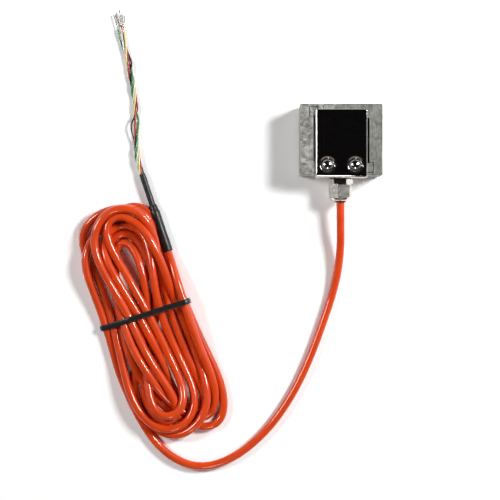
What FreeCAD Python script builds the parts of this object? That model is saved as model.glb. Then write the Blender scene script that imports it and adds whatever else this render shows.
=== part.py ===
"""S-type load cell with its cable, every piece a solid of its own.

Millimetres. X is the load axis, the cable leaves towards -Y and Z is up. The origin lies on the
plane that the cell rests on, under the middle of the sensing body.
"""
import FreeCAD
import Part

import math
import os

from FreeCAD import Placement, Rotation, Vector

# --- sensing body -------------------------------------------------------------------------------
body_length = 61.0            # along the load axis
body_width = 53.0
body_thickness = 25.0
body_chamfer = 0.4
arm_thickness = 9.7           # from a load face to its slot
slot_width = 2.8
link_thickness = 10.2         # left between a slot's closed end and the body's edge
load_drill_radius = 3.4       # tapping size of the M8 load threads
load_mouth_chamfer = 0.5

# The overload key: a thin cut that runs on from each slot and hooks round a tongue.
key_cut = 0.5
key_reach = 2.9               # tongue's reach past the slot, towards the load face
key_height = 7.1              # between the cut's two level runs
key_land = 2.1                # from the body's edge to the cut's outer level run
hook_width = 4.2              # of the arm's hook that hangs into the tongue
hook_depth = 3.4
cut_exit = 13.3               # where the cut leaves the body, from its middle

# --- gauges -------------------------------------------------------------------------------------
web_thickness = 3.5           # left between the two pockets
gauge_length = 7.0
gauge_width = 4.4
gauge_thickness = 0.2
gauge_spacing = 10.4          # between the middles of a pair
gauge_lean = 45.0             # degrees, for shear
board_length = 10.0
board_width = 4.0
board_thickness = 1.0
board_clear_of_pocket = 0.6   # its far corners from the pocket's wall
resistor_length = 3.2
resistor_width = 1.6
resistor_height = 0.6
resistor_spacing = 5.2

# --- cover --------------------------------------------------------------------------------------
cover_width = 38.6
cover_reach = 22.8            # from the body's middle to the cover's far edge
cover_sheet = 0.8
cover_rise = 2.0              # outer face above the body's face
cover_overhang = 2.0          # outer face past the body's cable side
cover_rim_radius = 1.4
cover_bend_radius = 2.4
cover_gap = 0.2               # rim clear of the body
dimple_radius = 6.4           # at the cover's face
dimple_seat_radius = 4.4
seal_clear_of_pocket = 0.4
seal_clear_of_dimple = 0.2
seal_width = 2.0

# --- cover screws -------------------------------------------------------------------------------
screw_radius = 2.0            # M4
screw_spacing = 20.6
screw_inset = 7.6             # from the body's cable side
screw_depth = 8.0             # of thread in the body
screw_end_clearance = 1.0
thread_clearance = 0.05
screw_hole_clearance = 0.2
pan_head_radius = 4.05
pan_head_height = 2.6
pan_head_side = 0.9           # straight side under the dome
cross_width = 0.9
cross_length = 4.4
cross_depth = 1.5
cross_point_radius = 0.25
cross_flare_radius = 1.45
low_head_radius = 3.9
low_head_height = 1.1
low_head_chamfer = 0.2
low_head_socket = 2.5         # across flats
low_head_socket_depth = 0.8

# --- cable gland --------------------------------------------------------------------------------
gland_thread_radius = 6.0     # M12
gland_thread_depth = 8.0      # below the body's face
gland_end_chamfer = 0.8
port_run_out = 1.5            # thread past the gland's end
wire_passage_radius = 4.0
wire_passage_overlap = 7.5    # past the pocket's wall, into the web
port_washer_width = 2.5
gland_o_ring_width = 1.9
gland_o_ring_height = 0.5
collar_flats = 16.0
collar_height = 4.0
collar_turn = 5.0             # degrees, from a flat facing up
collar_chamfer = 0.5
nut_flats = 16.0
nut_hex_height = 9.8
nut_dome_height = 2.2
nut_turn = -14.0
nut_chamfer = 0.6
hex_corner_run = 1.6          # length of a turned-off corner for each mm of its chamfer
nut_shoulder = 0.9            # the dome's slope: in from the flats at its shoulder
nut_shoulder_height = 1.5
nut_mouth_slope = 2.0         # and at the mouth
nut_clear_of_nose = 0.3
nut_clear_of_claw = 0.8
nut_clear_of_collar = 0.4
nut_wall = 1.05               # at the flats
nose_wall = 1.65
nose_length = 7.5
gland_fit = 0.05              # between pieces that slide into each other
gland_bore_clearance = 0.5    # round the cable
claw_wall = 1.0
claw_seat = 1.5               # base of the claw past the collar's face
claw_root = 1.5               # closed ring below the slits
claw_tip = 2.4                # past the nose
claw_tip_taper = 0.6
claw_slits = 6
claw_slit_width = 0.8
gland_seal_wall = 1.0
gland_seal_proud = 0.9        # of the nut's mouth

# --- cable and wires ----------------------------------------------------------------------------
cable_diameter = 6.2
jacket_past_seal = 1.5        # inside the gland
wire_diameter = 1.3
wire_spread = 0.04            # share of a diameter left between neighbours
board_lead_spacing = 1.5
board_lead_fan = 2.0          # their distance from the gland's axis where they leave it
board_lead_straight = 6.0     # before they fan out
board_lead_lift = 0.3         # clear of the web
board_lead_landing = 4.5      # where they turn level, before the passage's end
tip_diameter = 0.7
large_sleeve_wall = 0.7
large_sleeve_length = 37.0
large_sleeve_neck = 4.0       # cone onto the small sleeve
small_sleeve_wall = 0.55
small_sleeve_length = 33.0
small_sleeve_inset = 8.0      # inside the large sleeve
sleeve_fit = 0.05

# Corners of the free cable's middle line from the gland to the hank: x, y and the gap under the
# jacket, which is None where the cable is still level with the gland.
lead_route = [
    (0.0, -58.5, None),
    (0.6, -84.0, 5.0),
    (-3.6, -110.0, 0.6),
    (-12.5, -136.5, 0.0),
    (-22.3, -163.5, 0.0),
    (-35.0, -190.5, 0.0),
    (-53.5, -217.5, 0.0),
    (-79.0, -239.5, 0.0),
    (-106.5, -248.0, 0.0),
    (-132.5, -236.5, 0.0),
    (-151.5, -210.5, 0.0),
]

# --- hank ---------------------------------------------------------------------------------------
hank_beside_cell = 146.0      # the tie's middle from the cell's, towards -X
hank_below_cell = 131.3       # and towards -Y
hank_lean = 16.5              # degrees from +Y towards -X
hank_edge_radius = 3.0
hank_waist = 13.2             # height under the tie
# The hank seen from its side: distance along it from the tie, and height.
hank_crown = [(-110.0, 8.0), (-85.0, 15.0), (-52.0, 17.0), (0.0, hank_waist), (50.0, 17.0),
              (78.0, 15.0), (100.0, 8.0)]
# Its outline between the two free strands: distances across and along it from the tie.
far_loops = [(-34.8, 25.0), (-34.2, 58.0), (-25.0, 81.0), (-4.0, 89.0), (15.5, 83.5),
             (23.4, 64.0), (24.4, 42.0)]
near_loops = [(35.4, -12.0), (40.2, -36.0), (43.4, -62.0), (38.5, -86.0), (22.0, -95.6),
              (-1.5, -97.0), (-14.5, -90.0), (-21.6, -76.0), (-25.6, -56.0)]
opening_width = 8.4
opening_start = 24.0          # from the tie, towards the far loops
opening_end = 52.0
tie_width = 3.0
tie_thickness = 1.4
tie_half_length = 35.6        # from the hank's middle line to its outer face
tie_corner_radius = 4.2
tie_bite = 0.3                # pressed into the strands
lead_offset = -31.0           # of the strand that comes from the gland, across the hank
lead_joint = -12.0            # where it enters the hank
lead_straight = 27.0          # of it before that
tail_length = 32.0            # of the strand that leaves the hank, up to its sleeve
sleeve_offset = 29.2          # where that sleeve begins, across the hank
sleeve_joint = 41.5           # and along it
sleeve_lean = 18.5            # degrees from +Y towards -X

# Corners of the wire bundle's middle line past the small sleeve, which holds the wires straight:
# distance along +Y and towards -X from the sleeve's end, and the gap under the bundle.
bundle_droop = 11.0           # first corner, straight on past the sleeve's end
bundle_route = [
    (34.0, 4.2, 0.0),
    (57.0, 5.2, 0.0),
    (76.0, 8.6, 0.0),
    (95.0, 13.4, 0.0),
    (113.5, 16.8, 0.0),
]
wire_colours = ["red", "black", "green", "white", "yellow"]
wire_trims = [0.0, 5.5, 3.0, 1.5, 4.0]     # how much shorter each wire is than the route
board_order = [4, 3, 0, 2, 1]              # of the wires on the board, from the left
tip_lengths = [8.0, 9.0, 8.5, 7.5, 9.0]

# --- values worked out from the ones above ------------------------------------------------------
half_length = body_length / 2
half_width = body_width / 2
rear_face = cover_rise
front_face = rear_face + body_thickness
mid_height = rear_face + body_thickness / 2
cover_top = front_face + cover_rise
cable_radius = cable_diameter / 2
wire_radius = wire_diameter / 2
bundle_pitch_radius = wire_radius * (1 + wire_spread) / math.sin(math.pi / len(wire_colours))
bundle_radius = bundle_pitch_radius + wire_radius
screw_y = screw_inset - half_width
dimple_reach = math.hypot(screw_spacing / 2, screw_y) - dimple_radius
pocket_radius = dimple_reach - seal_clear_of_dimple - seal_width - seal_clear_of_pocket
board_corner_reach = pocket_radius - board_clear_of_pocket
board_offset = math.sqrt(board_corner_reach ** 2 - (board_length / 2) ** 2) - board_width / 2
screw_places = {"left": -screw_spacing / 2, "right": screw_spacing / 2}
gland_inner_end = -gland_thread_depth
collar_base = cover_overhang + gland_o_ring_height
collar_top = collar_base + collar_height
nut_base = collar_top + nut_clear_of_collar
nut_hex_top = nut_base + nut_hex_height
nut_mouth = nut_hex_top + nut_dome_height
seal_inner_radius = cable_radius + gland_fit
seal_outer_radius = seal_inner_radius + gland_seal_wall
claw_inner_radius = seal_outer_radius + gland_fit
claw_outer_radius = claw_inner_radius + claw_wall
nose_inner_radius = claw_outer_radius + gland_fit
nose_outer_radius = nose_inner_radius + nose_wall
nut_mouth_radius = seal_outer_radius + 2 * gland_fit
nose_top = collar_top + nose_length
jacket_inner_y = jacket_past_seal - claw_seat - collar_top - half_width
passage_inner_y = wire_passage_overlap - pocket_radius

# Distances along this placement's z run outwards from the body's cable side.
gland_place = Placement(Vector(0, -half_width, mid_height), Rotation(Vector(1, 0, 0), 90))
half_turn = Rotation(Vector(0, 0, 1), 180)


# --- small helpers ------------------------------------------------------------------------------
def box(low, high):
    """A block between two corners."""
    size = high - low
    return Part.makeBox(size.x, size.y, size.z, low)


def rod(radius, start, end):
    """A round bar between two points."""
    return Part.makeCylinder(radius, (end - start).Length, start, end - start)


def tube_ring(outer_radius, inner_radius, start, end):
    """A round bar with a bore right through it."""
    return rod(outer_radius, start, end).cut(rod(inner_radius, start, end))


def plate(points, low, high):
    """A closed polygon in plan, extruded from one height to another."""
    corners = [Vector(x, y, low) for x, y in points]
    outline = Part.makePolygon(corners + corners[:1])
    return Part.Face(outline).extrude(Vector(0, 0, high - low))


def turned(profile):
    """A closed profile of (radius, z) points turned about the z axis."""
    corners = [Vector(radius, 0, z) for radius, z in profile]
    outline = Part.makePolygon(corners + corners[:1])
    return Part.Face(outline).revolve(Vector(0, 0, 0), Vector(0, 0, 1), 360)


def hexagon_bar(flats, low, high, turn):
    """A hexagonal bar along z; at turn 0 a flat faces +y."""
    corner_radius = flats / math.sqrt(3)
    points = []
    for index in range(6):
        angle = math.radians(60 * index + turn)
        points.append((corner_radius * math.cos(angle), corner_radius * math.sin(angle)))
    return plate(points, low, high)


def placed(shape, placement):
    """A copy of the shape, moved by a placement."""
    return shape.transformed(placement.toMatrix(), True)


def half_turned(shape):
    """The shape turned half round about the upright through the body's middle."""
    return placed(shape, Placement(Vector(0, 0, 0), half_turn))


def from_rear(shape):
    """The same shape on the body's rear face, facing down."""
    flipped = Placement(Vector(0, 0, 2 * mid_height), Rotation(Vector(0, 1, 0), 180))
    return placed(shape, flipped)


def bent_path(points):
    """Straight runs joined by arcs, each as large as its two runs allow."""
    edges = []
    radii = []
    length = 0.0
    here = points[0]
    for index in range(1, len(points) - 1):
        corner = points[index]
        before = corner - points[index - 1]
        after = points[index + 1] - corner
        turn = before.getAngle(after)
        reach = 0.45 * min(before.Length, after.Length)
        radius = reach / math.tan(turn / 2)
        into = corner - before.normalize() * reach
        out_of = corner + after.normalize() * reach
        inwards = ((into + out_of) / 2 - corner).normalize()
        middle = corner + inwards * (radius / math.cos(turn / 2) - radius)
        edges.append(Part.LineSegment(here, into).toShape())
        edges.append(Part.Arc(into, middle, out_of).toShape())
        length += (into - here).Length + radius * turn
        radii.append(round(radius, 1))
        here = out_of
    edges.append(Part.LineSegment(here, points[-1]).toShape())
    length += (points[-1] - here).Length
    return Part.Wire(edges), length, radii


def round_tube(points, radius, label):
    """A round bar along a bent path; prints its bend radii and checks its volume."""
    path, length, radii = bent_path(points)
    section = Part.Wire([Part.makeCircle(radius, points[0], points[1] - points[0])])
    bar = path.makePipeShell([section], True, False)
    expected = math.pi * radius ** 2 * length
    print(f"{label}: length {length:.1f}, radii {radii}, volume share {bar.Volume / expected:.4f}")
    return bar


# --- sensing body -------------------------------------------------------------------------------
def slot_and_key():
    """The left slot and the thin cut that runs on from it round the overload key."""
    outer = arm_thickness - half_length
    inner = outer + slot_width
    closed = link_thickness - half_width
    end_radius = slot_width / 2
    half_cut = key_cut / 2
    top = half_width - key_land
    low = top - key_height
    reach = outer - key_reach
    leave = -cut_exit
    hook = leave - hook_width
    hook_end = top - hook_depth
    past_edge = half_width + 1.0
    centre_side = [
        (inner, closed + end_radius),
        (inner, low + half_cut),
        (reach + half_cut, low + half_cut),
        (reach + half_cut, top - half_cut),
        (hook - half_cut, top - half_cut),
        (hook - half_cut, hook_end - half_cut),
        (leave + half_cut, hook_end - half_cut),
        (leave + half_cut, past_edge),
    ]
    arm_side = [
        (leave - half_cut, past_edge),
        (leave - half_cut, hook_end + half_cut),
        (hook + half_cut, hook_end + half_cut),
        (hook + half_cut, top + half_cut),
        (reach - half_cut, top + half_cut),
        (reach - half_cut, low - half_cut),
        (outer, low - half_cut),
        (outer, closed + end_radius),
    ]
    corners = [Vector(x, y, 0) for x, y in centre_side + arm_side]
    edges = [Part.LineSegment(a, b).toShape() for a, b in zip(corners, corners[1:])]
    bottom = Vector((outer + inner) / 2, closed, 0)
    edges.append(Part.Arc(corners[-1], bottom, corners[0]).toShape())
    face = Part.Face(Part.Wire(edges))
    return face.extrude(Vector(0, 0, cover_top))


def load_thread(side):
    """The tapped hole in a load face and its mouth chamfer; side is -1 or 1."""
    mouth = Vector(side * half_length, 0, mid_height)
    slot = Vector(side * (half_length - arm_thickness - slot_width / 2), 0, mid_height)
    hole = rod(load_drill_radius, slot, mouth)
    flare = Part.makeCone(load_drill_radius + load_mouth_chamfer, load_drill_radius,
                          load_mouth_chamfer, mouth, Vector(-side, 0, 0))
    return hole.fuse(flare)


def screw_hole(x):
    """A tapped hole in the body's front face."""
    top = Vector(x, screw_y, front_face)
    return rod(screw_radius + thread_clearance, top - Vector(0, 0, screw_depth), top)


def load_cell_body():
    """One steel block, cut into an S by two slots, with a pocket each side of a thin web."""
    block = box(Vector(-half_length, -half_width, rear_face),
                Vector(half_length, half_width, front_face))
    block = block.makeChamfer(body_chamfer, block.Edges)
    slot = slot_and_key()
    cuts = [slot, half_turned(slot), load_thread(-1), load_thread(1)]
    web_top = Vector(0, 0, mid_height + web_thickness / 2)
    pocket = rod(pocket_radius, web_top, Vector(0, 0, front_face))
    cuts += [pocket, from_rear(pocket)]
    for x in screw_places.values():
        hole = screw_hole(x)
        cuts += [hole, from_rear(hole)]
    thread_end = -gland_thread_depth - port_run_out
    passage_end = -half_width - passage_inner_y
    port = rod(gland_thread_radius + thread_clearance, Vector(0, 0, thread_end), Vector(0, 0, 0))
    passage = rod(wire_passage_radius, Vector(0, 0, passage_end), Vector(0, 0, thread_end))
    cuts += [placed(port, gland_place), placed(passage, gland_place)]
    return block.cut(cuts)


# --- gauges and board ---------------------------------------------------------------------------
def strain_gauge(side):
    """A shear gauge on the web's front face; side is -1 for the left one."""
    low = Vector(-gauge_length / 2, -gauge_width / 2, 0)
    patch = box(low, Vector(gauge_length / 2, gauge_width / 2, gauge_thickness))
    place = Placement(Vector(side * gauge_spacing / 2, 0, mid_height + web_thickness / 2),
                      Rotation(Vector(0, 0, 1), side * gauge_lean))
    return placed(patch, place)


def terminal_board():
    """The small board that the gauges and the cable's wires are soldered to."""
    base = mid_height + web_thickness / 2
    low = Vector(-board_length / 2, board_offset - board_width / 2, base)
    return box(low, low + Vector(board_length, board_width, board_thickness))


def trim_resistor(side):
    """A resistor on the board; side is -1 for the left one."""
    middle = Vector(side * resistor_spacing / 2, board_offset,
                    mid_height + web_thickness / 2 + board_thickness)
    half = Vector(resistor_length / 2, resistor_width / 2, 0)
    return box(middle - half, middle + half + Vector(0, 0, resistor_height))


def board_lead(index):
    """One of the cable's wires, from the jacket's end through the passage to the board."""
    place = board_order.index(index) - (len(wire_colours) - 1) / 2
    angle = 2 * math.pi * index / len(wire_colours)
    outwards = Vector(math.sin(angle), 0, math.cos(angle))
    start = Vector(0, jacket_inner_y, mid_height) + outwards * bundle_pitch_radius
    straight = start + Vector(0, board_lead_straight, 0)
    fanned = Vector(0, gland_thread_depth - half_width, mid_height) + outwards * board_lead_fan
    landing = Vector(place * board_lead_spacing, passage_inner_y - board_lead_landing,
                     mid_height + web_thickness / 2 + board_lead_lift + wire_radius)
    end = Vector(landing.x, board_offset - board_width / 2, landing.z)
    points = [start, straight, fanned + Vector(0, wire_diameter, 0), landing, end]
    return round_tube(points, wire_radius, f"board_lead_{wire_colours[index]}")


# --- cover --------------------------------------------------------------------------------------
def edge_is(edge, axis, **places):
    """Whether an edge runs along an axis and lies at the given coordinates."""
    start, end = edge.Vertexes[0].Point, edge.Vertexes[-1].Point
    along = (end - start).normalize()
    if abs(along.dot(axis)) < 0.999:
        return False
    middle = (start + end) / 2
    return all(abs(getattr(middle, name) - value) < 1e-6 for name, value in places.items())


def rounded_case(inset):
    """The cover's outer block with its edges rounded, taken in by a sheet's thickness."""
    low = Vector(-cover_width / 2 + inset, -half_width - cover_overhang + inset, inset)
    high = Vector(cover_width / 2 - inset, cover_reach - inset, cover_top - inset)
    case = box(low, high)
    along_x = Vector(1, 0, 0)
    bends = [edge for edge in case.Edges if edge_is(edge, along_x, y=low.y)]
    case = case.makeFillet(cover_bend_radius - inset, bends)
    sides = []
    for edge in case.Edges:
        middle = edge.CenterOfMass
        on_side = min(abs(middle.x - low.x), abs(middle.x - high.x)) < 1e-6
        on_end = abs(middle.y - high.y) < 1e-6
        if on_side or on_end:
            sides.append(edge)
    return case.makeFillet(cover_rim_radius - inset, sides)


def dimple(radius_change, shift):
    """The cone of a screw dimple in the front sheet, from its seat to the sheet's face."""
    depth = cover_rise - cover_sheet
    seat = front_face + shift
    cones = []
    for x in screw_places.values():
        cones.append(Part.makeCone(dimple_seat_radius + radius_change, dimple_radius + radius_change,
                                   depth, Vector(x, screw_y, seat)))
    return cones[0].fuse(cones[1:])


def sensor_cover():
    """Polished sheet wrapped round the front, the cable side and the rear of the middle block."""
    shell = rounded_case(0.0).cut(rounded_case(cover_sheet))
    room_low = Vector(-half_length, -half_width - cover_gap, rear_face - cover_gap)
    room_high = Vector(half_length, half_width, front_face + cover_gap)
    shell = shell.cut(box(room_low, room_high))
    pressed = dimple(0.0, 0.0)
    hollow = dimple(0.0, cover_sheet)
    shell = shell.fuse([pressed, from_rear(pressed)])
    cuts = [hollow, from_rear(hollow)]
    for x in screw_places.values():
        cuts.append(rod(screw_radius + screw_hole_clearance, Vector(x, screw_y, 0),
                        Vector(x, screw_y, cover_top)))
    gland_hole = rod(gland_thread_radius + screw_hole_clearance, Vector(0, 0, 0),
                     Vector(0, 0, cover_overhang))
    cuts.append(placed(gland_hole, gland_place))
    return shell.cut(cuts).removeSplitter()


def pocket_seal():
    """The rubber ring that the cover presses onto the front face round the pocket."""
    inner = pocket_radius + seal_clear_of_pocket
    top = Vector(0, 0, front_face + cover_rise - cover_sheet)
    return tube_ring(inner + seal_width, inner, Vector(0, 0, front_face), top)


# --- cover screws -------------------------------------------------------------------------------
def screw_shank(seat):
    """The part of a cover screw below its head."""
    end = front_face - screw_depth + screw_end_clearance
    return rod(screw_radius, Vector(0, 0, end), Vector(0, 0, seat))


def pan_screw(x):
    """A front cover screw: domed head with a cross recess."""
    seat = front_face + cover_sheet
    top = seat + pan_head_height
    rim = seat + pan_head_side
    dome_radius = ((top - rim) ** 2 + pan_head_radius ** 2) / (2 * (top - rim))
    half_angle = math.asin(pan_head_radius / dome_radius) / 2
    dome_middle = Vector(dome_radius * math.sin(half_angle), 0,
                         top - dome_radius * (1 - math.cos(half_angle)))
    corners = [Vector(0, 0, top), Vector(0, 0, seat), Vector(pan_head_radius, 0, seat),
               Vector(pan_head_radius, 0, rim)]
    edges = [Part.LineSegment(a, b).toShape() for a, b in zip(corners, corners[1:])]
    edges.append(Part.Arc(corners[-1], dome_middle, corners[0]).toShape())
    head = Part.Face(Part.Wire(edges)).revolve(Vector(0, 0, 0), Vector(0, 0, 1), 360)
    shank = screw_shank(seat)
    low = Vector(-cross_length / 2, -cross_width / 2, top - cross_depth)
    slot = box(low, Vector(cross_length / 2, cross_width / 2, top))
    other = placed(slot, Placement(Vector(0, 0, 0), Rotation(Vector(0, 0, 1), 90)))
    point = Part.makeCone(cross_point_radius, cross_flare_radius, cross_depth,
                          Vector(0, 0, top - cross_depth))
    screw = head.fuse(shank).cut([slot, other, point]).removeSplitter()
    return placed(screw, Placement(Vector(x, screw_y, 0), Rotation()))


def low_screw(x):
    """A rear cover screw: its low head stays inside the dimple, so that the cell lies flat."""
    seat = front_face + cover_sheet
    top = seat + low_head_height
    head = rod(low_head_radius, Vector(0, 0, seat), Vector(0, 0, top))
    rims = [edge for edge in head.Edges if edge.CenterOfMass.z > top - 1e-6]
    head = head.makeChamfer(low_head_chamfer, rims)
    shank = screw_shank(seat)
    socket = hexagon_bar(low_head_socket, top - low_head_socket_depth, top, 0.0)
    screw = head.fuse(shank).cut(socket).removeSplitter()
    return from_rear(placed(screw, Placement(Vector(-x, screw_y, 0), Rotation())))


# --- cable gland --------------------------------------------------------------------------------
def port_washer():
    """The ring that fills the room between the body and the cover round the gland."""
    inner = gland_thread_radius + thread_clearance * 2
    ring = tube_ring(inner + port_washer_width, inner, Vector(0, 0, 0),
                     Vector(0, 0, cover_overhang - cover_sheet))
    return placed(ring, gland_place)


def gland_o_ring():
    """The flat rubber ring under the gland's collar."""
    inner = gland_thread_radius + thread_clearance * 2
    ring = tube_ring(inner + gland_o_ring_width, inner, Vector(0, 0, cover_overhang),
                     Vector(0, 0, collar_base))
    return placed(ring, gland_place)


def chamfered_hex(flats, low, high, turn, chamfer):
    """A hexagonal bar whose corners are turned off at both ends."""
    corner = flats / math.sqrt(3)
    envelope = turned([(0, low), (corner - chamfer * hex_corner_run, low), (corner, low + chamfer),
                       (corner, high - chamfer), (corner - chamfer * hex_corner_run, high), (0, high)])
    return envelope.common(hexagon_bar(flats, low, high, turn))


def gland_body():
    """Threaded spigot, hexagonal collar and the nose that holds the claw, bored for the cable."""
    bore = cable_radius + gland_bore_clearance
    seat = collar_top + claw_seat
    stem = turned([(0, gland_inner_end), (gland_thread_radius - gland_end_chamfer, gland_inner_end),
                   (gland_thread_radius, gland_inner_end + gland_end_chamfer),
                   (gland_thread_radius, collar_base),
                   (nose_outer_radius, collar_base), (nose_outer_radius, nose_top), (0, nose_top)])
    collar = chamfered_hex(collar_flats, collar_base, collar_top, collar_turn, collar_chamfer)
    hollow = turned([(0, gland_inner_end), (bore, gland_inner_end), (bore, seat),
                     (nose_inner_radius, seat), (nose_inner_radius, nose_top), (0, nose_top)])
    return placed(stem.fuse(collar).cut(hollow).removeSplitter(), gland_place)


def gland_claw():
    """The slit ring that the dome nut squeezes onto the seal."""
    base = collar_top + claw_seat
    tip = nose_top + claw_tip
    ring = turned([(claw_inner_radius, base), (claw_outer_radius, base),
                   (claw_outer_radius, nose_top), (claw_outer_radius - claw_tip_taper, tip),
                   (claw_inner_radius, tip)])
    slits = []
    for index in range(claw_slits):
        slit = box(Vector(0, -claw_slit_width / 2, base + claw_root),
                   Vector(claw_outer_radius + claw_wall, claw_slit_width / 2, tip))
        turn = Rotation(Vector(0, 0, 1), 360 * index / claw_slits)
        slits.append(placed(slit, Placement(Vector(0, 0, 0), turn)))
    return placed(ring.cut(slits), gland_place)


def gland_seal():
    """The rubber sleeve that grips the jacket and shows at the nut's mouth."""
    start = Vector(0, 0, collar_top + claw_seat)
    ring = tube_ring(seal_outer_radius, seal_inner_radius, start,
                     Vector(0, 0, nut_mouth + gland_seal_proud))
    return placed(ring, gland_place)


def gland_dome_nut():
    """The hexagonal cap nut with its turned end."""
    corner = nut_flats / math.sqrt(3)
    flat = nut_flats / 2
    outside = turned([(0, nut_base), (corner - nut_chamfer * hex_corner_run, nut_base),
                      (corner, nut_base + nut_chamfer), (corner, nut_hex_top - nut_chamfer),
                      (flat, nut_hex_top), (flat - nut_shoulder, nut_hex_top + nut_shoulder_height),
                      (flat - nut_mouth_slope, nut_mouth), (0, nut_mouth)])
    outside = outside.common(hexagon_bar(nut_flats, nut_base, nut_mouth, nut_turn))
    bore = flat - nut_wall
    cone_top = nose_top + claw_tip + nut_clear_of_claw
    inside = turned([(0, nut_base), (bore, nut_base), (bore, nose_top + nut_clear_of_nose),
                     (nut_mouth_radius, cone_top), (nut_mouth_radius, nut_mouth), (0, nut_mouth)])
    return placed(outside.cut(inside), gland_place)


# --- hank, tie and sleeves ----------------------------------------------------------------------
hank_centre = Vector(-hank_beside_cell, -hank_below_cell, 0.0)
hank_place = Placement(hank_centre, Rotation(Vector(0, 0, 1), hank_lean))
large_sleeve_radius = cable_radius + sleeve_fit + large_sleeve_wall
small_sleeve_bore = bundle_radius + sleeve_fit
small_sleeve_radius = small_sleeve_bore + small_sleeve_wall
jacket_end = large_sleeve_length - large_sleeve_neck - small_sleeve_inset
small_sleeve_start = large_sleeve_length - small_sleeve_inset
small_sleeve_end = small_sleeve_start + small_sleeve_length

# The sleeve's own frame: z runs along the last strand from where its sleeve begins.
sleeve_direction = Rotation(Vector(0, 0, 1), sleeve_lean).multVec(Vector(0, 1, 0))
sleeve_side = Rotation(Vector(0, 0, 1), sleeve_lean).multVec(Vector(1, 0, 0))
sleeve_start = hank_place.multVec(Vector(sleeve_offset, sleeve_joint, large_sleeve_radius))
sleeve_place = Placement(sleeve_start, Rotation(Vector(0, 0, 1), sleeve_direction))
tail_start = sleeve_start - sleeve_direction * tail_length


def in_hank(point):
    """A point of the whole part in the hank's own frame, brought down to its floor."""
    local = hank_place.inverse().multVec(point)
    return Vector(local.x, local.y, 0)


def smooth_edge(points):
    """One curve through a few points."""
    curve = Part.BSplineCurve()
    curve.interpolate(points)
    return curve.toShape()


def straight_edges(points):
    """The lines from each point to the next."""
    return [Part.LineSegment(a, b).toShape() for a, b in zip(points, points[1:])]


def hank_plan():
    """The outline of all the loops, with a step square to each free strand where it joins."""
    far = [Vector(x, y, 0) for x, y in far_loops]
    near = [Vector(x, y, 0) for x, y in near_loops]
    far.insert(0, Vector(lead_offset - cable_radius, lead_joint, 0))
    near.append(Vector(lead_offset + cable_radius, lead_joint, 0))
    far.append(in_hank(tail_start - sleeve_side * cable_radius))
    near.insert(0, in_hank(tail_start + sleeve_side * cable_radius))
    edges = [smooth_edge(far), smooth_edge(near)]
    edges += straight_edges([far[-1], near[0]]) + straight_edges([near[-1], far[0]])
    return Part.Face(Part.Wire(Part.__sortEdges__(edges)))


def hank_side():
    """The hank seen from its side, high at both ends and pulled down at the tie."""
    beside = 2 * lead_offset
    crown = [Vector(beside, y, z) for y, z in hank_crown]
    below = [crown[-1], Vector(beside, crown[-1].y, 0), Vector(beside, crown[0].y, 0), crown[0]]
    edges = [smooth_edge(crown)] + straight_edges(below)
    face = Part.Face(Part.Wire(Part.__sortEdges__(edges)))
    return face.extrude(Vector(-2 * beside, 0, 0))


def round_cornered(low, high, radius):
    """A block whose four edges along y are rounded."""
    block = box(low, high)
    corners = [edge for edge in block.Edges if edge_is(edge, Vector(0, 1, 0))]
    return block.makeFillet(radius, corners)


def tie_band():
    """The tie's ring round the hank, in the hank's own frame."""
    low = Vector(-tie_half_length, -tie_width / 2, 0)
    high = Vector(tie_half_length, tie_width / 2, hank_waist - tie_bite + tie_thickness)
    wall = Vector(tie_thickness, 0, tie_thickness)
    outer = round_cornered(low, high, tie_corner_radius)
    return outer.cut(round_cornered(low + wall, high - wall, tie_corner_radius - tie_thickness))


def hank_opening():
    """The long gap through the middle of the far loops."""
    radius = opening_width / 2
    top = Vector(0, 0, max(height for place, height in hank_crown))
    ends = [Vector(0, opening_start + radius, 0), Vector(0, opening_end - radius, 0)]
    middle = box(ends[0] - Vector(radius, 0, 0), ends[1] + Vector(radius, 0, 0) + top)
    return middle.fuse([rod(radius, end, end + top) for end in ends])


def cable_hank():
    """The coiled cable as one closed solid of its outer shape."""
    high_block = hank_plan().extrude(Vector(0, 0, max(height for place, height in hank_crown) + 1))
    solid = high_block.common(hank_side())
    rims = [edge for edge in solid.Edges if edge.BoundBox.ZMin > hank_edge_radius]
    solid = solid.makeFillet(hank_edge_radius, rims)
    return placed(solid.cut([hank_opening(), tie_band()]), hank_place)


def hank_tie():
    """The elastic tie round the hank."""
    return placed(tie_band(), hank_place)


def cable_lead():
    """The free cable from inside the gland to the hank."""
    points = [Vector(0, jacket_inner_y, mid_height)]
    for x, y, gap in lead_route:
        height = mid_height if gap is None else gap + cable_radius
        points.append(Vector(x, y, height))
    joint = Vector(lead_offset, lead_joint, cable_radius)
    points.append(hank_place.multVec(joint - Vector(0, lead_straight, 0)))
    points.append(hank_place.multVec(joint))
    return round_tube(points, cable_radius, "cable_lead")


def cable_tail():
    """The last strand, straight from the hank to the jacket's end inside the large sleeve."""
    return rod(cable_radius, tail_start, sleeve_start + sleeve_direction * jacket_end)


def large_sleeve():
    """Heat-shrink sleeve over the jacket's end, drawn in onto the small sleeve."""
    bore = cable_radius + sleeve_fit
    neck_bore = small_sleeve_radius + sleeve_fit
    profile = [(bore, 0), (large_sleeve_radius, 0),
               (large_sleeve_radius, large_sleeve_length - large_sleeve_neck),
               (neck_bore + large_sleeve_wall, large_sleeve_length),
               (neck_bore, large_sleeve_length), (neck_bore, jacket_end + sleeve_fit),
               (bore, jacket_end + sleeve_fit)]
    return placed(turned(profile), sleeve_place)


def small_sleeve():
    """The thinner sleeve that holds the wires together."""
    ring = tube_ring(small_sleeve_radius, small_sleeve_bore, Vector(0, 0, small_sleeve_start),
                     Vector(0, 0, small_sleeve_end))
    return placed(ring, sleeve_place)


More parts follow.
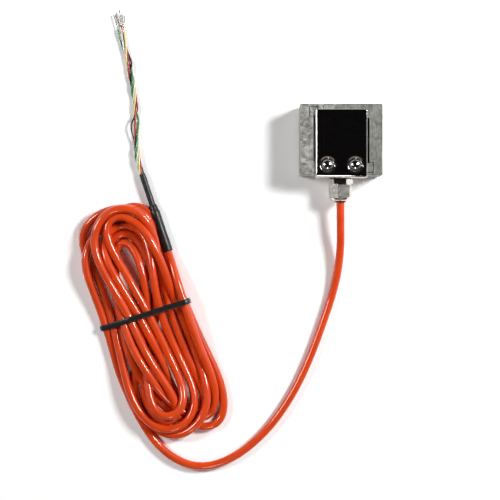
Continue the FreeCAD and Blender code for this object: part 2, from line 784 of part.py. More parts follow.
# --- wires --------------------------------------------------------------------------------------
def wire_points(index):
    """The corners of one wire's middle line, from the jacket's end to its stripped end."""
    angle = 2 * math.pi * index / len(wire_colours)
    place = sleeve_side * (bundle_pitch_radius * math.sin(angle))
    place.z = bundle_pitch_radius * math.cos(angle)
    end = sleeve_start + sleeve_direction * small_sleeve_end
    points = [sleeve_start + sleeve_direction * jacket_end, end + sleeve_direction * bundle_droop]
    for along, across, gap in bundle_route:
        points.append(Vector(end.x - across, end.y + along, gap + bundle_radius))
    points = [point + place for point in points]
    last_run = (points[-1] - points[-2]).normalize()
    points[-1] -= last_run * wire_trims[index]
    return points


def wire(index):
    """One insulated wire."""
    return round_tube(wire_points(index), wire_radius, f"wire_{wire_colours[index]}")


def wire_tip(index):
    """The tinned strands at a wire's stripped end."""
    before, start = wire_points(index)[-2:]
    along = (start - before).normalize()
    return rod(tip_diameter / 2, start, start + along * tip_lengths[index])


# --- the whole part -----------------------------------------------------------------------------
def all_pieces():
    """Every piece by its node name."""
    gauge = {"left": strain_gauge(-1), "right": strain_gauge(1)}
    resistor = {"left": trim_resistor(-1), "right": trim_resistor(1)}
    seal = pocket_seal()
    pieces = {
        "load_cell_body": load_cell_body(),
        "sensor_cover": sensor_cover(),
        "front_pocket_seal": seal,
        "rear_pocket_seal": from_rear(seal),
        "terminal_board": terminal_board(),
        "port_washer": port_washer(),
        "gland_o_ring": gland_o_ring(),
        "gland_body": gland_body(),
        "gland_claw": gland_claw(),
        "gland_seal": gland_seal(),
        "gland_dome_nut": gland_dome_nut(),
        "cable_lead": cable_lead(),
        "cable_hank": cable_hank(),
        "cable_tail": cable_tail(),
        "hank_tie": hank_tie(),
        "large_sleeve": large_sleeve(),
        "small_sleeve": small_sleeve(),
    }
    for side, x in screw_places.items():
        pieces[f"front_screw_{side}"] = pan_screw(x)
        pieces[f"rear_screw_{side}"] = low_screw(x)
        pieces[f"front_gauge_{side}"] = gauge[side]
        pieces[f"rear_gauge_{side}"] = from_rear(gauge["right" if side == "left" else "left"])
        pieces[f"trim_resistor_{side}"] = resistor[side]
    for index, colour in enumerate(wire_colours):
        pieces[f"board_lead_{colour}"] = board_lead(index)
        pieces[f"wire_{colour}"] = wire(index)
        pieces[f"wire_tip_{colour}"] = wire_tip(index)
    return pieces


os.makedirs("parts", exist_ok=True)
for name, shape in all_pieces().items():
    shape.exportStep(f"parts/{name}.step")
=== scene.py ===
"""The looks of an S type load cell with its orange cable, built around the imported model.

Lengths in the classes below are in millimetres, apart from the studio's where they say metres, and
are turned to metres where a mesh is made.
"""

import logging
import math
from dataclasses import dataclass, field
from enum import Enum

import bpy
import numpy as np
from mathutils import Matrix, Vector


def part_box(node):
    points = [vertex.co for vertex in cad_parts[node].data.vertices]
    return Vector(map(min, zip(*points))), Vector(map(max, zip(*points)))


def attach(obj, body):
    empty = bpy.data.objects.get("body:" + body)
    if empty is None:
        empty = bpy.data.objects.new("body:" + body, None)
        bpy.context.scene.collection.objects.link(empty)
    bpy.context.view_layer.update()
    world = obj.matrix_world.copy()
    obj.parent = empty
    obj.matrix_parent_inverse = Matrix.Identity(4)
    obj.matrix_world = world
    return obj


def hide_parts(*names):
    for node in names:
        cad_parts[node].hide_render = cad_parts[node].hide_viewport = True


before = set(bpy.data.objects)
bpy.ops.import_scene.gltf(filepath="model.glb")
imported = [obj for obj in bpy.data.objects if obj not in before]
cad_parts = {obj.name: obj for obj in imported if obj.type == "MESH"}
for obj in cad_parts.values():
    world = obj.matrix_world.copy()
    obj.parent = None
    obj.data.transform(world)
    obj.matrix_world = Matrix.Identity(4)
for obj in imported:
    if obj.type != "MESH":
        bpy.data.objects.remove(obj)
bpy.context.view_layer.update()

log = logging.getLogger("load_cell")
MM = 0.001
ROOT = "root"


# --- small tools --------------------------------------------------------------------------------
def linear(hex_colour: str) -> tuple[float, float, float, float]:
    """Turn an sRGB hex colour to linear light.

    Args:
        hex_colour: Six hex digits, such as "E8431A".

    Returns:
        Red, green, blue and an alpha of 1.
    """
    parts = [int(hex_colour[i:i + 2], 16) / 255 for i in (0, 2, 4)]
    red, green, blue = [p / 12.92 if p <= 0.04045 else ((p + 0.055) / 1.055) ** 2.4 for p in parts]
    return red, green, blue, 1.0


def add(tree: bpy.types.NodeTree, kind: str, values: dict | None = None,
        links: dict | None = None, stops: tuple = (), **settings: object) -> bpy.types.Node:
    """Add one node with its settings, socket values and incoming links.

    Args:
        tree: The node tree that gets the node.
        kind: The node's type name.
        values: Socket values, by socket name or number.
        links: Output sockets, by the name or number of the socket they feed.
        stops: Of a colour ramp, places from 0 to 1 with a hex colour each.
        **settings: The node's own properties.

    Returns:
        The new node.
    """
    node = tree.nodes.new(kind)
    for name, value in settings.items():
        setattr(node, name, value)
    for socket, value in (values or {}).items():
        node.inputs[socket].default_value = value
    for socket, source in (links or {}).items():
        tree.links.new(source, node.inputs[socket])
    if stops:
        points = node.color_ramp.elements
        while len(points) < len(stops):
            points.new(1.0)
        for point, (place, colour) in zip(points, stops):
            point.position = place
            point.color = linear(colour)
    return node


def pattern(tree: bpy.types.NodeTree, size: tuple[float, float, float], detail: float = 3.0,
            turn: float = 0.0, distortion: float = 0.0) -> bpy.types.NodeSocket:
    """A noise on the piece's own place, stretched to the size of a grain.

    Args:
        tree: The node tree.
        size: The grain's size along each axis, in millimetres.
        detail: Octaves of finer grain.
        turn: Turn of the grain about the vertical, in radians.
        distortion: How much the grain is bent.

    Returns:
        The noise, from 0 to 1.
    """
    place = add(tree, "ShaderNodeTexCoord").outputs["Object"]
    turned = add(tree, "ShaderNodeMapping", {"Rotation": (0.0, 0.0, turn)}, {"Vector": place})
    scale = tuple(1 / (length * MM) for length in size)
    mapped = add(tree, "ShaderNodeMapping", {"Scale": scale}, {"Vector": turned.outputs[0]})
    node = add(tree, "ShaderNodeTexNoise",
               {"Scale": 1.0, "Detail": detail, "Distortion": distortion},
               {"Vector": mapped.outputs[0]})
    return node.outputs["Fac"]


def surface(tree: bpy.types.NodeTree, values: dict, tone: bpy.types.NodeSocket,
            height: bpy.types.NodeSocket, bump: tuple[float, float],
            rough: tuple | None = None) -> bpy.types.Node:
    """Close a finish with its shader, its bump and, where it varies, its roughness.

    Args:
        tree: The node tree.
        values: The shader's constant values.
        tone: The base colour.
        height: The pattern that raises the surface.
        bump: The bump's strength, and its height in millimetres.
        rough: What drives the roughness, the span of it that does, and the roughness at both
            ends of that span.

    Returns:
        The shader.
    """
    strength, depth = bump
    raised = add(tree, "ShaderNodeBump", {"Strength": strength, "Distance": depth * MM},
                 {"Height": height})
    links = {"Base Color": tone, "Normal": raised.outputs[0]}
    if rough:
        driver, (low, high), (smooth, matt) = rough
        spread = {"From Min": low, "From Max": high, "To Min": smooth, "To Max": matt}
        links["Roughness"] = add(tree, "ShaderNodeMapRange", spread, {"Value": driver}).outputs[0]
    return add(tree, "ShaderNodeBsdfPrincipled", values, links)


def deselect() -> None:
    """Leave edit mode and deselect everything."""
    if bpy.context.mode != "OBJECT":
        bpy.ops.object.mode_set(mode="OBJECT")
    bpy.ops.object.select_all(action="DESELECT")


def activate(piece: bpy.types.Object) -> None:
    """Select one object alone and make it the active one.

    Args:
        piece: The object.
    """
    deselect()
    piece.select_set(True)
    bpy.context.view_layer.objects.active = piece


def in_scene(name: str, data: bpy.types.ID | None) -> bpy.types.Object:
    """Put data into the scene as an object.

    Args:
        name: The object's name.
        data: Its mesh, curve, lamp or camera.

    Returns:
        The object.
    """
    piece = bpy.data.objects.new(name, data)
    bpy.context.scene.collection.objects.link(piece)
    return piece


def weld(piece: bpy.types.Object, gap: float, outwards: bool) -> None:
    """Merge a mesh's doubled points, and turn its faces outwards where they may not be.

    Args:
        piece: The piece, whose mesh is changed.
        gap: Points closer than this, in millimetres, are merged.
        outwards: Whether the faces are turned.
    """
    activate(piece)
    bpy.ops.object.mode_set(mode="EDIT")
    bpy.ops.mesh.select_all(action="SELECT")
    bpy.ops.mesh.remove_doubles(threshold=gap * MM)
    if outwards:
        bpy.ops.mesh.normals_make_consistent(inside=False)
    bpy.ops.object.mode_set(mode="OBJECT")


def stand_in(piece: bpy.types.Object, material: bpy.types.Material, slot: str,
             *nodes: str) -> None:
    """Dress a piece, and let it ride on the root body in place of some nodes.

    Args:
        piece: The piece.
        material: Its only finish.
        slot: Not used.
        *nodes: The nodes that it replaces, if any.
    """
    piece.data.materials.clear()
    piece.data.materials.append(material)
    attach(piece, ROOT)
    if nodes:
        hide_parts(*nodes)
    log.info("%s: %s", piece.name, material.name)


def dressed_copy(node: str, name: str, material: bpy.types.Material, slot: str,
                 angle: float) -> None:
    """Stand a welded, smooth-shaded copy in for a node, with the same shape.

    Args:
        node: The node to copy.
        name: The new piece's name.
        material: Its finish.
        slot: A material slot's name, passed on to stand_in.
        angle: Edges sharper than this many degrees stay sharp.
    """
    piece = in_scene(name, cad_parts[node].data.copy())
    weld(piece, 0.002, False)
    bpy.ops.mesh.customdata_custom_splitnormals_clear()
    bpy.ops.object.shade_smooth_by_angle(angle=math.radians(angle))
    weigh = piece.modifiers.new("flat faces", "WEIGHTED_NORMAL")
    weigh.keep_sharp = True
    bpy.ops.object.modifier_apply(modifier=weigh.name)
    stand_in(piece, material, slot, node)


def cord_curve(name: str, points: np.ndarray, diameter: float,
               resolution: int, around: int = 0) -> bpy.types.Object:
    """A round cord along one smooth spline.

    Args:
        name: The curve's name.
        points: Control points, in millimetres.
        diameter: The cord's diameter, in millimetres, or 0 for the bare line.
        resolution: Steps between two control points.
        around: Bevel steps of the round section.

    Returns:
        The curve object.
    """
    curve = bpy.data.curves.new(name, "CURVE")
    curve.dimensions = "3D"
    curve.bevel_depth = diameter / 2 * MM
    curve.bevel_resolution = around
    curve.use_fill_caps = diameter > 0
    spline = curve.splines.new("NURBS")
    spline.points.add(len(points) - 1)
    for point, place in zip(spline.points, points):
        point.co = (*(np.asarray(place) * MM), 1.0)
    spline.order_u = 3
    spline.use_endpoint_u = True
    spline.resolution_u = resolution
    return in_scene(name, curve)


def closed_loop(name: str, places: np.ndarray) -> bpy.types.Object:
    """A closed loop of short straight runs.

    Args:
        name: The curve's name.
        places: Its corners, in millimetres.

    Returns:
        The curve object.
    """
    curve = bpy.data.curves.new(name, "CURVE")
    curve.dimensions = "3D"
    spline = curve.splines.new("POLY")
    spline.points.add(len(places) - 1)
    for point, place in zip(spline.points, places * MM):
        point.co = (*place, 1.0)
    spline.use_cyclic_u = True
    return in_scene(name, curve)


def line_of(points: np.ndarray, resolution: int) -> np.ndarray:
    """The places along the smooth spline of some control points.

    Args:
        points: Control points, in millimetres.
        resolution: Steps between two control points.

    Returns:
        The spline's own places, in millimetres.
    """
    guide = cord_curve("guide", points, 0.0, resolution)
    mesh = bpy.data.meshes.new_from_object(guide)
    places = np.array([vertex.co[:] for vertex in mesh.vertices]) / MM
    bpy.data.meshes.remove(mesh)
    bpy.data.curves.remove(guide.data)
    return places


def length_of(places: np.ndarray) -> float:
    """The length of a line of places, in the same unit."""
    return float(np.linalg.norm(np.diff(places, axis=0), axis=1).sum())


def heading(lean: float) -> np.ndarray:
    """The level direction that leans from +Y towards -X by some degrees."""
    return np.array([-math.sin(math.radians(lean)), math.cos(math.radians(lean)), 0.0])


# --- finishes -----------------------------------------------------------------------------------
@dataclass(frozen=True)
class Finish:
    """A named finish; each kind builds its own shader."""

    name: str

    def shader(self, tree: bpy.types.NodeTree) -> bpy.types.Node:
        """Build the shader, in the way of each kind of finish."""
        raise NotImplementedError(self.name)

    def material(self) -> bpy.types.Material:
        """Build the finish's material.

        Returns:
            The material, with the finish's shader on its surface.
        """
        material = bpy.data.materials.new(self.name)
        material.use_nodes = True
        tree = material.node_tree
        tree.nodes.clear()
        shader = self.shader(tree)
        add(tree, "ShaderNodeOutputMaterial", links={"Surface": shader.outputs[0]})
        return material


@dataclass(frozen=True)
class JacketFinish(Finish):
    """Extruded polyurethane or PVC: a saturated colour under a clear gloss."""

    lit: str                     # where the jacket is clean
    deep: str                    # in its slow blotches
    roughness: float = 0.35
    blotch: float = 9.0          # mm, slow change of tone along the cable
    ripple: float = 3.0          # mm, faint unevenness left by the die

    def shader(self, tree: bpy.types.NodeTree) -> bpy.types.Node:
        """Build the jacket's shader.

        Args:
            tree: The material's nodes.

        Returns:
            The shader: the ripple breaks the long reflections a little.
        """
        tone = add(tree, "ShaderNodeValToRGB", links={"Fac": pattern(tree, (self.blotch,) * 3)},
                   stops=((0.3, self.deep), (0.7, self.lit)))
        gloss = {"Roughness": self.roughness, "IOR": 1.5, "Specular IOR Level": 0.25,
                 "Coat Weight": 0.85, "Coat Roughness": 0.03}
        return surface(tree, gloss, tone.outputs["Color"],
                       pattern(tree, (self.ripple,) * 3, 2.0), (0.03, 0.3))


@dataclass(frozen=True)
class PlatedMetalFinish(Finish):
    """Small plated or tinned metal parts: a fine grain over a mottled plating."""

    light: str
    dark: str
    roughness: float
    grain: float = 0.5           # mm
    bump: float = 0.25
    mottle: float = 2.2          # mm

    def shader(self, tree: bpy.types.NodeTree) -> bpy.types.Node:
        """Build the metal's shader.

        Args:
            tree: The material's nodes.

        Returns:
            The shader: grain and mottling change colour, roughness and height together.
        """
        grain = pattern(tree, (self.grain,) * 3, 4.0)
        mottle = pattern(tree, (self.mottle,) * 3, 5.0)
        both = add(tree, "ShaderNodeMix", {0: 0.45}, {2: grain, 3: mottle}, data_type="FLOAT")
        tone = add(tree, "ShaderNodeValToRGB", links={"Fac": both.outputs[0]},
                   stops=((0.36, self.dark), (0.62, self.light)))
        rough = (grain, (0.3, 0.7), (self.roughness * 0.7, self.roughness * 1.35))
        return surface(tree, {"Metallic": 1.0}, tone.outputs["Color"], both.outputs[0],
                       (self.bump, 0.05), rough)


@dataclass(frozen=True)
class ArmFinish(Finish):
    """Nickel-plated steel block: short crossed scratches on its left arm, and brushing across the
    load on the right, over a mottled plating."""

    name: str = "nickel-plated steel, milled and scratched"
    light: str = "D2D1CC"                # on the scratched arm
    middle: str = "A3A29C"
    dark: str = "6E6C66"
    dull_light: str = "A8A8A3"           # on the brushed arm
    dull_middle: str = "8D8D88"
    dull_dark: str = "706F6B"
    scratch: tuple = (4.5, 0.28, 0.6)    # mm, one scratch along, across and down
    crossing: tuple = (3.0, 0.35, 0.6)   # mm, one that slants across them
    brushed: tuple = (0.4, 6.0, 6.0)     # mm, one line of the brushing
    mottle: float = 3.2                  # mm
    join: float = 2.0                    # mm, either side of the middle, where the arms blend

    def shader(self, tree: bpy.types.NodeTree) -> bpy.types.Node:
        """Build the block's shader.

        Args:
            tree: The material's nodes.

        Returns:
            The shader: the two arms differ in tone and in the direction of their lines.
        """
        place = add(tree, "ShaderNodeTexCoord").outputs["Object"]
        split = add(tree, "ShaderNodeSeparateXYZ", links={0: place})
        side = add(tree, "ShaderNodeMapRange",
                   {"From Min": -self.join * MM, "From Max": self.join * MM},
                   {"Value": split.outputs["X"]}).outputs[0]
        left = add(tree, "ShaderNodeMix", {0: 0.4},
                   {2: pattern(tree, self.scratch, 5.0, 0.12, 0.4),
                    3: pattern(tree, self.crossing, 4.0, 0.9, 0.5)}, data_type="FLOAT")
        lines = add(tree, "ShaderNodeMix",
                    links={0: side, 2: left.outputs[0], 3: pattern(tree, self.brushed, 4.0)},
                    data_type="FLOAT")
        mottle = pattern(tree, (self.mottle,) * 3, 6.0, 0.0, 0.6)
        both = add(tree, "ShaderNodeMix", {0: 0.4}, {2: lines.outputs[0], 3: mottle},
                   data_type="FLOAT").outputs[0]
        bright = add(tree, "ShaderNodeValToRGB", links={"Fac": both},
                     stops=((0.41, self.dark), (0.5, self.middle), (0.59, self.light)))
        duller = add(tree, "ShaderNodeValToRGB", links={"Fac": both},
                     stops=((0.38, self.dull_dark), (0.5, self.dull_middle),
                            (0.64, self.dull_light)))
        tone = add(tree, "ShaderNodeMix",
                   links={0: side, 6: bright.outputs["Color"], 7: duller.outputs["Color"]},
                   data_type="RGBA")
        return surface(tree, {"Metallic": 1.0}, tone.outputs[2], both, (0.7, 0.06),
                       (both, (0.35, 0.65), (0.46, 0.66)))


@dataclass(frozen=True)
class MirrorFinish(Finish):
    """Stainless sheet polished to a mirror: it shows what is above it, with faint wipe marks."""

    name: str = "stainless sheet, mirror polished"
    clean: str = "DCDCDA"
    wiped: str = "C9C9C6"
    roughness: float = 0.05
    wipe: tuple = (9.0, 1.2, 1.2)        # mm, one wipe mark

    def shader(self, tree: bpy.types.NodeTree) -> bpy.types.Node:
        """Build the sheet's shader.

        Args:
            tree: The material's nodes.

        Returns:
            The shader: the wipe marks change its tone and gloss a little.
        """
        wipe = pattern(tree, self.wipe, 4.0, 0.5, 0.8)
        tone = add(tree, "ShaderNodeValToRGB", links={"Fac": wipe},
                   stops=((0.3, self.wiped), (0.6, self.clean)))
        rough = (wipe, (0.35, 0.7), (self.roughness * 0.6, self.roughness * 1.8))
        return surface(tree, {"Metallic": 1.0}, tone.outputs["Color"], wipe, (0.02, 0.05), rough)


@dataclass(frozen=True)
class DarkPolymerFinish(Finish):
    """Rubber, heat-shrink sleeve, elastic or moulded plastic, by its grain and gloss."""

    light: str
    dark: str
    roughness: float
    grain: tuple[float, float, float] = (0.5, 0.5, 0.5)    # mm
    bump: float = 0.3

    def shader(self, tree: bpy.types.NodeTree) -> bpy.types.Node:
        """Build the polymer's shader.

        Args:
            tree: The material's nodes.

        Returns:
            The shader: its grain shows in tone, gloss and height.
        """
        grain = pattern(tree, self.grain)
        tone = add(tree, "ShaderNodeValToRGB", links={"Fac": grain},
                   stops=((0.35, self.dark), (0.7, self.light)))
        rough = (grain, (0.3, 0.7), (self.roughness * 0.8, self.roughness * 1.2))
        return surface(tree, {"IOR": 1.5}, tone.outputs["Color"], grain, (self.bump, 0.1), rough)


@dataclass(frozen=True)
class TableFinish(Finish):
    """Matt white table that keeps the shadows near the object and runs out into plain white."""

    name: str = "white table"
    colour: str = "F4F2F2"
    seen: float = 1.14                           # its level where it is looked at
    middle: tuple[float, float] = (0.0, 0.0)     # mm, what the plain white lies round
    fade: tuple[float, float] = (0.3, 0.75)      # metres from there, where it begins and is full

    def shader(self, tree: bpy.types.NodeTree) -> bpy.types.Node:
        """Build the table's shader.

        Args:
            tree: The material's nodes.

        Returns:
            The shader: plain white far from the object, and only for the camera.
        """
        path = add(tree, "ShaderNodeLightPath").outputs
        seen = add(tree, "ShaderNodeMath",
                   links={0: path["Is Camera Ray"], 1: path["Is Glossy Ray"]},
                   operation="MAXIMUM").outputs[0]
        tone = add(tree, "ShaderNodeMix", {6: linear(self.colour), 7: (*(self.seen,) * 3, 1.0)},
                   {0: seen}, data_type="RGBA")
        matt = add(tree, "ShaderNodeBsdfDiffuse", links={"Color": tone.outputs[2]})
        place = add(tree, "ShaderNodeTexCoord").outputs["Object"]
        away = add(tree, "ShaderNodeVectorMath", {1: tuple(Vector((*self.middle, 0.0)) * MM)},
                   {0: place}, operation="DISTANCE").outputs["Value"]
        far = add(tree, "ShaderNodeMapRange", {"From Min": self.fade[0], "From Max": self.fade[1]},
                  {"Value": away}, interpolation_type="SMOOTHSTEP")
        share = add(tree, "ShaderNodeMath", links={0: far.outputs[0], 1: path["Is Camera Ray"]},
                    operation="MULTIPLY")
        white = add(tree, "ShaderNodeEmission", {"Color": (1.0, 1.0, 1.0, 1.0), "Strength": 1.0})
        return add(tree, "ShaderNodeMixShader",
                   links={0: share.outputs[0], 1: matt.outputs[0], 2: white.outputs[0]})


# --- the orange cable ---------------------------------------------------------------------------
@dataclass(frozen=True)
class Bight:
    """One turned end of the hank, in the hank's own plan: distances across it and along it."""

    out_knee: tuple[float, float]        # where the outgoing leg is furthest out
    crown: tuple[float, float]
    back_knee: tuple[float, float]
    lane: float                          # across, where the returning leg passes the tie
    layers: tuple[float, float, float, float]    # at the out knee, crown, back knee and lane
    bows: tuple[float, float] = (0.0, 0.0)       # how far each leg bulges sideways


@dataclass(frozen=True)
class Settling:
    """How the hank's strands come down onto the floor, onto each other and under the tie."""

    rounds: int = 900
    search_every: int = 20               # rounds between two looks for strands that are near
    search_reach: float = 2.2            # diameters
    own_run: int = 12                    # places along the cable that never push each other
    clear: float = 1.01                  # diameters between strands that touch
    sideways: float = 0.45               # weight of a push across, beside one up or down
    push: float = 0.35                   # share of an overlap that one push takes away
    stride: float = 2.0                  # how far a point follows the pushes near it
    fall: float = 0.22                   # mm in the first round, and ever less
    hold: float = 0.04                   # share of the way back to its lane
    tie_hold: float = 0.10               # and more of it at the tie
    stiffness: tuple[float, float, float] = (0.12, 0.12, 0.35)
    press: float = 14.0                  # mm that the strands come down as the tie is drawn tight
    last_passes: int = 5                 # that take the settling's wobble out of the strands
    last_share: float = 0.3

    @staticmethod
    def spline_weights(count: int) -> np.ndarray:
        """How control points add up to three places on each piece of their spline.

        Args:
            count: The number of control points.

        Returns:
            A row of weights for each place.
        """
        share = np.array([0.0, 1 / 3, 2 / 3])
        weights = np.zeros((3 * (count - 2), count))
        for k in range(count - 2):
            places = slice(3 * k, 3 * k + 3)
            weights[places, k] = 0.5 * (1 - share) ** 2
            weights[places, k + 1] = 0.5 + share * (1 - share)
            weights[places, k + 2] = 0.5 * share ** 2
        return weights

    @staticmethod
    def kinks(points: np.ndarray) -> np.ndarray:
        """How each point's bend differs from its neighbours', which is nought on an even curve.

        Args:
            points: Rows of across, along and height.

        Returns:
            The difference, row by row.
        """
        bend, change = np.zeros_like(points), np.zeros_like(points)
        bend[1:-1] = (points[:-2] + points[2:]) / 2 - points[1:-1]
        change[1:-1] = (bend[:-2] + bend[2:]) / 2 - bend[1:-1]
        return change

    def pushes(self, line: np.ndarray, one: np.ndarray, other: np.ndarray,
               clear: float) -> np.ndarray:
        """How strands that overlap push each other apart, mostly up and down.

        Args:
            line: Places along the strands.
            one: Numbers of places that another strand is near.
            other: Numbers of the places that are near them.
            clear: The distance at which two strands touch.

        Returns:
            How each place moves.
        """
        gap = line[one] - line[other]
        distance = np.linalg.norm(gap, axis=1)
        near = distance < clear
        away = gap[near] * np.array([self.sideways, self.sideways, 1.0])
        away /= np.linalg.norm(away, axis=1, keepdims=True) + 1e-9
        push = away * ((clear - distance[near]) * self.push)[:, None]
        move, touches = np.zeros_like(line), np.zeros(len(line))
        for places, way in ((one[near], 1.0), (other[near], -1.0)):
            np.add.at(move, places, way * push)
            np.add.at(touches, places, 1)
        return move / np.maximum(touches, 1)[:, None] ** 0.5

    def settled(self, laid: np.ndarray, diameter: float, ground: np.ndarray,
                ceiling: np.ndarray, at_tie: np.ndarray) -> np.ndarray:
        """Let the strands settle, while each keeps near its own lane.

        Args:
            laid: The hank's points before it settles.
            diameter: The cable's diameter.
            ground: Each point's lowest level.
            ceiling: Each point's highest level, once the tie is drawn tight.
            at_tie: How near each point is to the tie, from 0 to 1.

        Returns:
            The same points, settled.
        """
        weights = self.spline_weights(len(laid))
        back = weights.T / (weights.sum(0)[:, None] + 1e-9)
        order = np.arange(len(weights))
        held = np.zeros(len(laid), bool)
        held[:3] = held[-2:] = True
        hold = self.hold + self.tie_hold * at_tie
        points = laid.copy()
        for k in range(self.rounds):
            line = weights @ points
            if k % self.search_every == 0:
                apart = np.linalg.norm(line[:, None] - line[None], axis=2)
                one, other = np.nonzero((apart < self.search_reach * diameter)
                                        & (order[None] - order[:, None] > self.own_run))
            step = back @ self.pushes(line, one, other, self.clear * diameter) * self.stride
            step[:, 2] -= self.fall * (1 - k / self.rounds)
            step[:, :2] += (laid[:, :2] - points[:, :2]) * hold
            step -= self.kinks(points) * np.array(self.stiffness)
            step[held] = 0
            points += step
            loose = max(0.0, 1 - 2 * k / self.rounds) * self.press
            points[:, 2] = np.clip(points[:, 2], ground, ceiling + loose)
            points[held] = laid[held]
        for _ in range(self.last_passes):
            change = self.kinks(points)
            change[held] = 0
            points -= self.last_share * change
            points[:, 2] = np.maximum(points[:, 2], diameter / 2)
        return points


@dataclass
class OrangeCable:
    """The jacketed cable: from the gland along the floor, wound into the hank, to its sleeve."""

    diameter: float = 6.2
    length: float = 3020.0
    gland_level: float = 14.5
    inner_end: float = -33.0             # along Y, inside the gland
    mouth: float = -46.3                 # the gland's mouth
    # Corners of the free cable: x, y and the gap under it; None is level with the gland.
    route: tuple = (
        (0.0, -58.5, None),
        (0.6, -84.0, 5.0),
        (-3.6, -110.0, 0.6),
        (-12.5, -136.5, 0.0),
        (-22.3, -163.5, 0.0),
        (-35.0, -190.5, 0.0),
        (-53.5, -217.5, 0.0),
        (-79.0, -239.5, 0.0),
        (-106.5, -248.0, 0.0),
        (-132.5, -236.5, 0.0),
        (-151.5, -210.5, 0.0),
    )
    hank_centre: tuple[float, float] = (-146.0, -131.3)
    hank_lean: float = 16.5              # degrees from +Y towards -X
    entry: tuple = ((-32.4, -38.0, 0.0), (-31.2, -12.0, 0.0))
    first_lane: float = -30.2
    leaving: tuple = ((30.5, 20.0, 1.0), (29.2, 41.5, 0.12))
    sleeve_lean: float = 18.5
    jacket_end: float = 25.0             # inside the sleeve
    step: float = 9.0                    # between the hank's points
    roundness: float = 0.72              # of a quarter turn, near the weight of an ellipse
    waist: float = 10.3                  # highest middle line under the tie
    rise: float = 0.22                   # and how it climbs away from there
    highest: float = 14.8
    tie_lift: float = 1.4                # the tie's lower run, under the strands
    tie_half: float = 7.0                # along the hank, how far that lifts them
    tie_reach: float = 26.0              # along the hank, where the strands run on smoothly
    smooth_passes: int = 12              # that take the corners off them there
    bights: tuple = (
        Bight((-33.9, 46.0), (9.0, 83.4), (25.3, 60.0), 30.0, (1.6, 0.2, 0.0, 0.0), (-0.4, 0.0)),
        Bight((38.6, -62.0), (25.5, -94.4), (-9.5, -61.5), -22.6, (0.0, 0.0, 0.4, 0.0),
              (0.0, -4.5)),
        Bight((-12.0, 49.0), (-3.0, 57.9), (6.0, 48.5), 4.8, (0.0, 0.0, 0.0, 0.0), (0.5, 1.2)),
        Bight((-24.8, -62.0), (-2.0, -93.6), (28.8, -62.0), 24.0, (0.0, 0.6, 1.0, 1.0),
              (-8.0, 1.0)),
        Bight((20.3, 58.0), (0.5, 79.4), (-12.0, 63.0), 3.4, (2.6, 2.8, 2.2, 1.0), (0.8, -0.5)),
        Bight((11.0, -62.0), (-3.0, -78.0), (-15.0, -64.0), -5.5, (2.2, 2.2, 0.6, 0.0)),
        Bight((22.6, 56.0), (-5.0, 84.0), (-31.3, 58.0), -24.6, (0.0, 0.8, 0.2, 1.0),
              (-0.5, 1.4)),
        Bight((-27.6, -60.0), (-6.0, -88.2), (18.2, -62.0), 7.8, (1.6, 1.8, 1.8, 1.0),
              (-2.0, 0.8)),
        Bight((17.0, 53.0), (1.5, 71.8), (-17.2, 56.0), -4.4, (1.5, 1.8, 1.8, 1.0),
              (1.0, -1.5)),
        Bight((4.0, -69.0), (14.6, -81.6), (25.4, -69.0), 17.0, (0.4, 0.2, 0.2, 0.0),
              (1.5, -0.5)),
        Bight((21.5, 58.0), (0.0, 82.8), (-22.8, 54.0), -12.3, (1.0, 1.4, 1.4, 1.0),
              (0.0, -1.0)),
        Bight((3.6, -70.0), (-8.0, -82.0), (-19.4, -69.0), 13.0, (1.8, 1.0, 0.0, 0.0),
              (-1.5, -7.0)),
        Bight((12.6, 51.0), (-2.0, 65.2), (-15.0, 52.0), -18.4, (0.0, 0.4, 0.8, 1.0)),
        Bight((-3.8, -64.6), (20.0, -88.4), (33.4, -66.0), 30.2, (1.2, 0.0, 0.5, 1.3),
              (-4.0, -0.5)),
    )
    settling: Settling = Settling()
    finish: JacketFinish = JacketFinish("polyurethane jacket, extruded", "E2480E", "D03E0A", 0.4,
                                        14.0)
    strands: np.ndarray = field(default_factory=lambda: np.zeros((0, 3)))

    def placed(self, points: np.ndarray) -> np.ndarray:
        """Turn places in the hank's own plan to places in the frame.

        Args:
            points: Rows of across, along and height.

        Returns:
            Rows of x, y and z.
        """
        lean = math.radians(self.hank_lean)
        across = np.array([math.cos(lean), math.sin(lean), 0.0])
        along = heading(self.hank_lean)
        centre = np.array([*self.hank_centre, 0.0])
        return (centre + points[:, :1] * across + points[:, 1:2] * along
                + points[:, 2:] * np.array([0.0, 0.0, 1.0]))

    def leg(self, tie: np.ndarray, knee: np.ndarray, layers: tuple[float, float],
            bow: float) -> np.ndarray:
        """Points of one leg, from the tie up to but without its knee.

        Args:
            tie: Where the leg passes the tie.
            knee: Where its turn begins.
            layers: The layer it lies in at the tie and at the knee.
            bow: How far it bulges across the hank, halfway along.

        Returns:
            Rows of across, along and layer.
        """
        count = max(3, round(float(np.linalg.norm(knee - tie)) / self.step))
        share = np.arange(count)[:, None] / count
        plan = tie + (knee - tie) * share
        plan[:, :1] += 4 * share * (1 - share) * bow
        return np.hstack([plan, layers[0] + (layers[1] - layers[0]) * share])

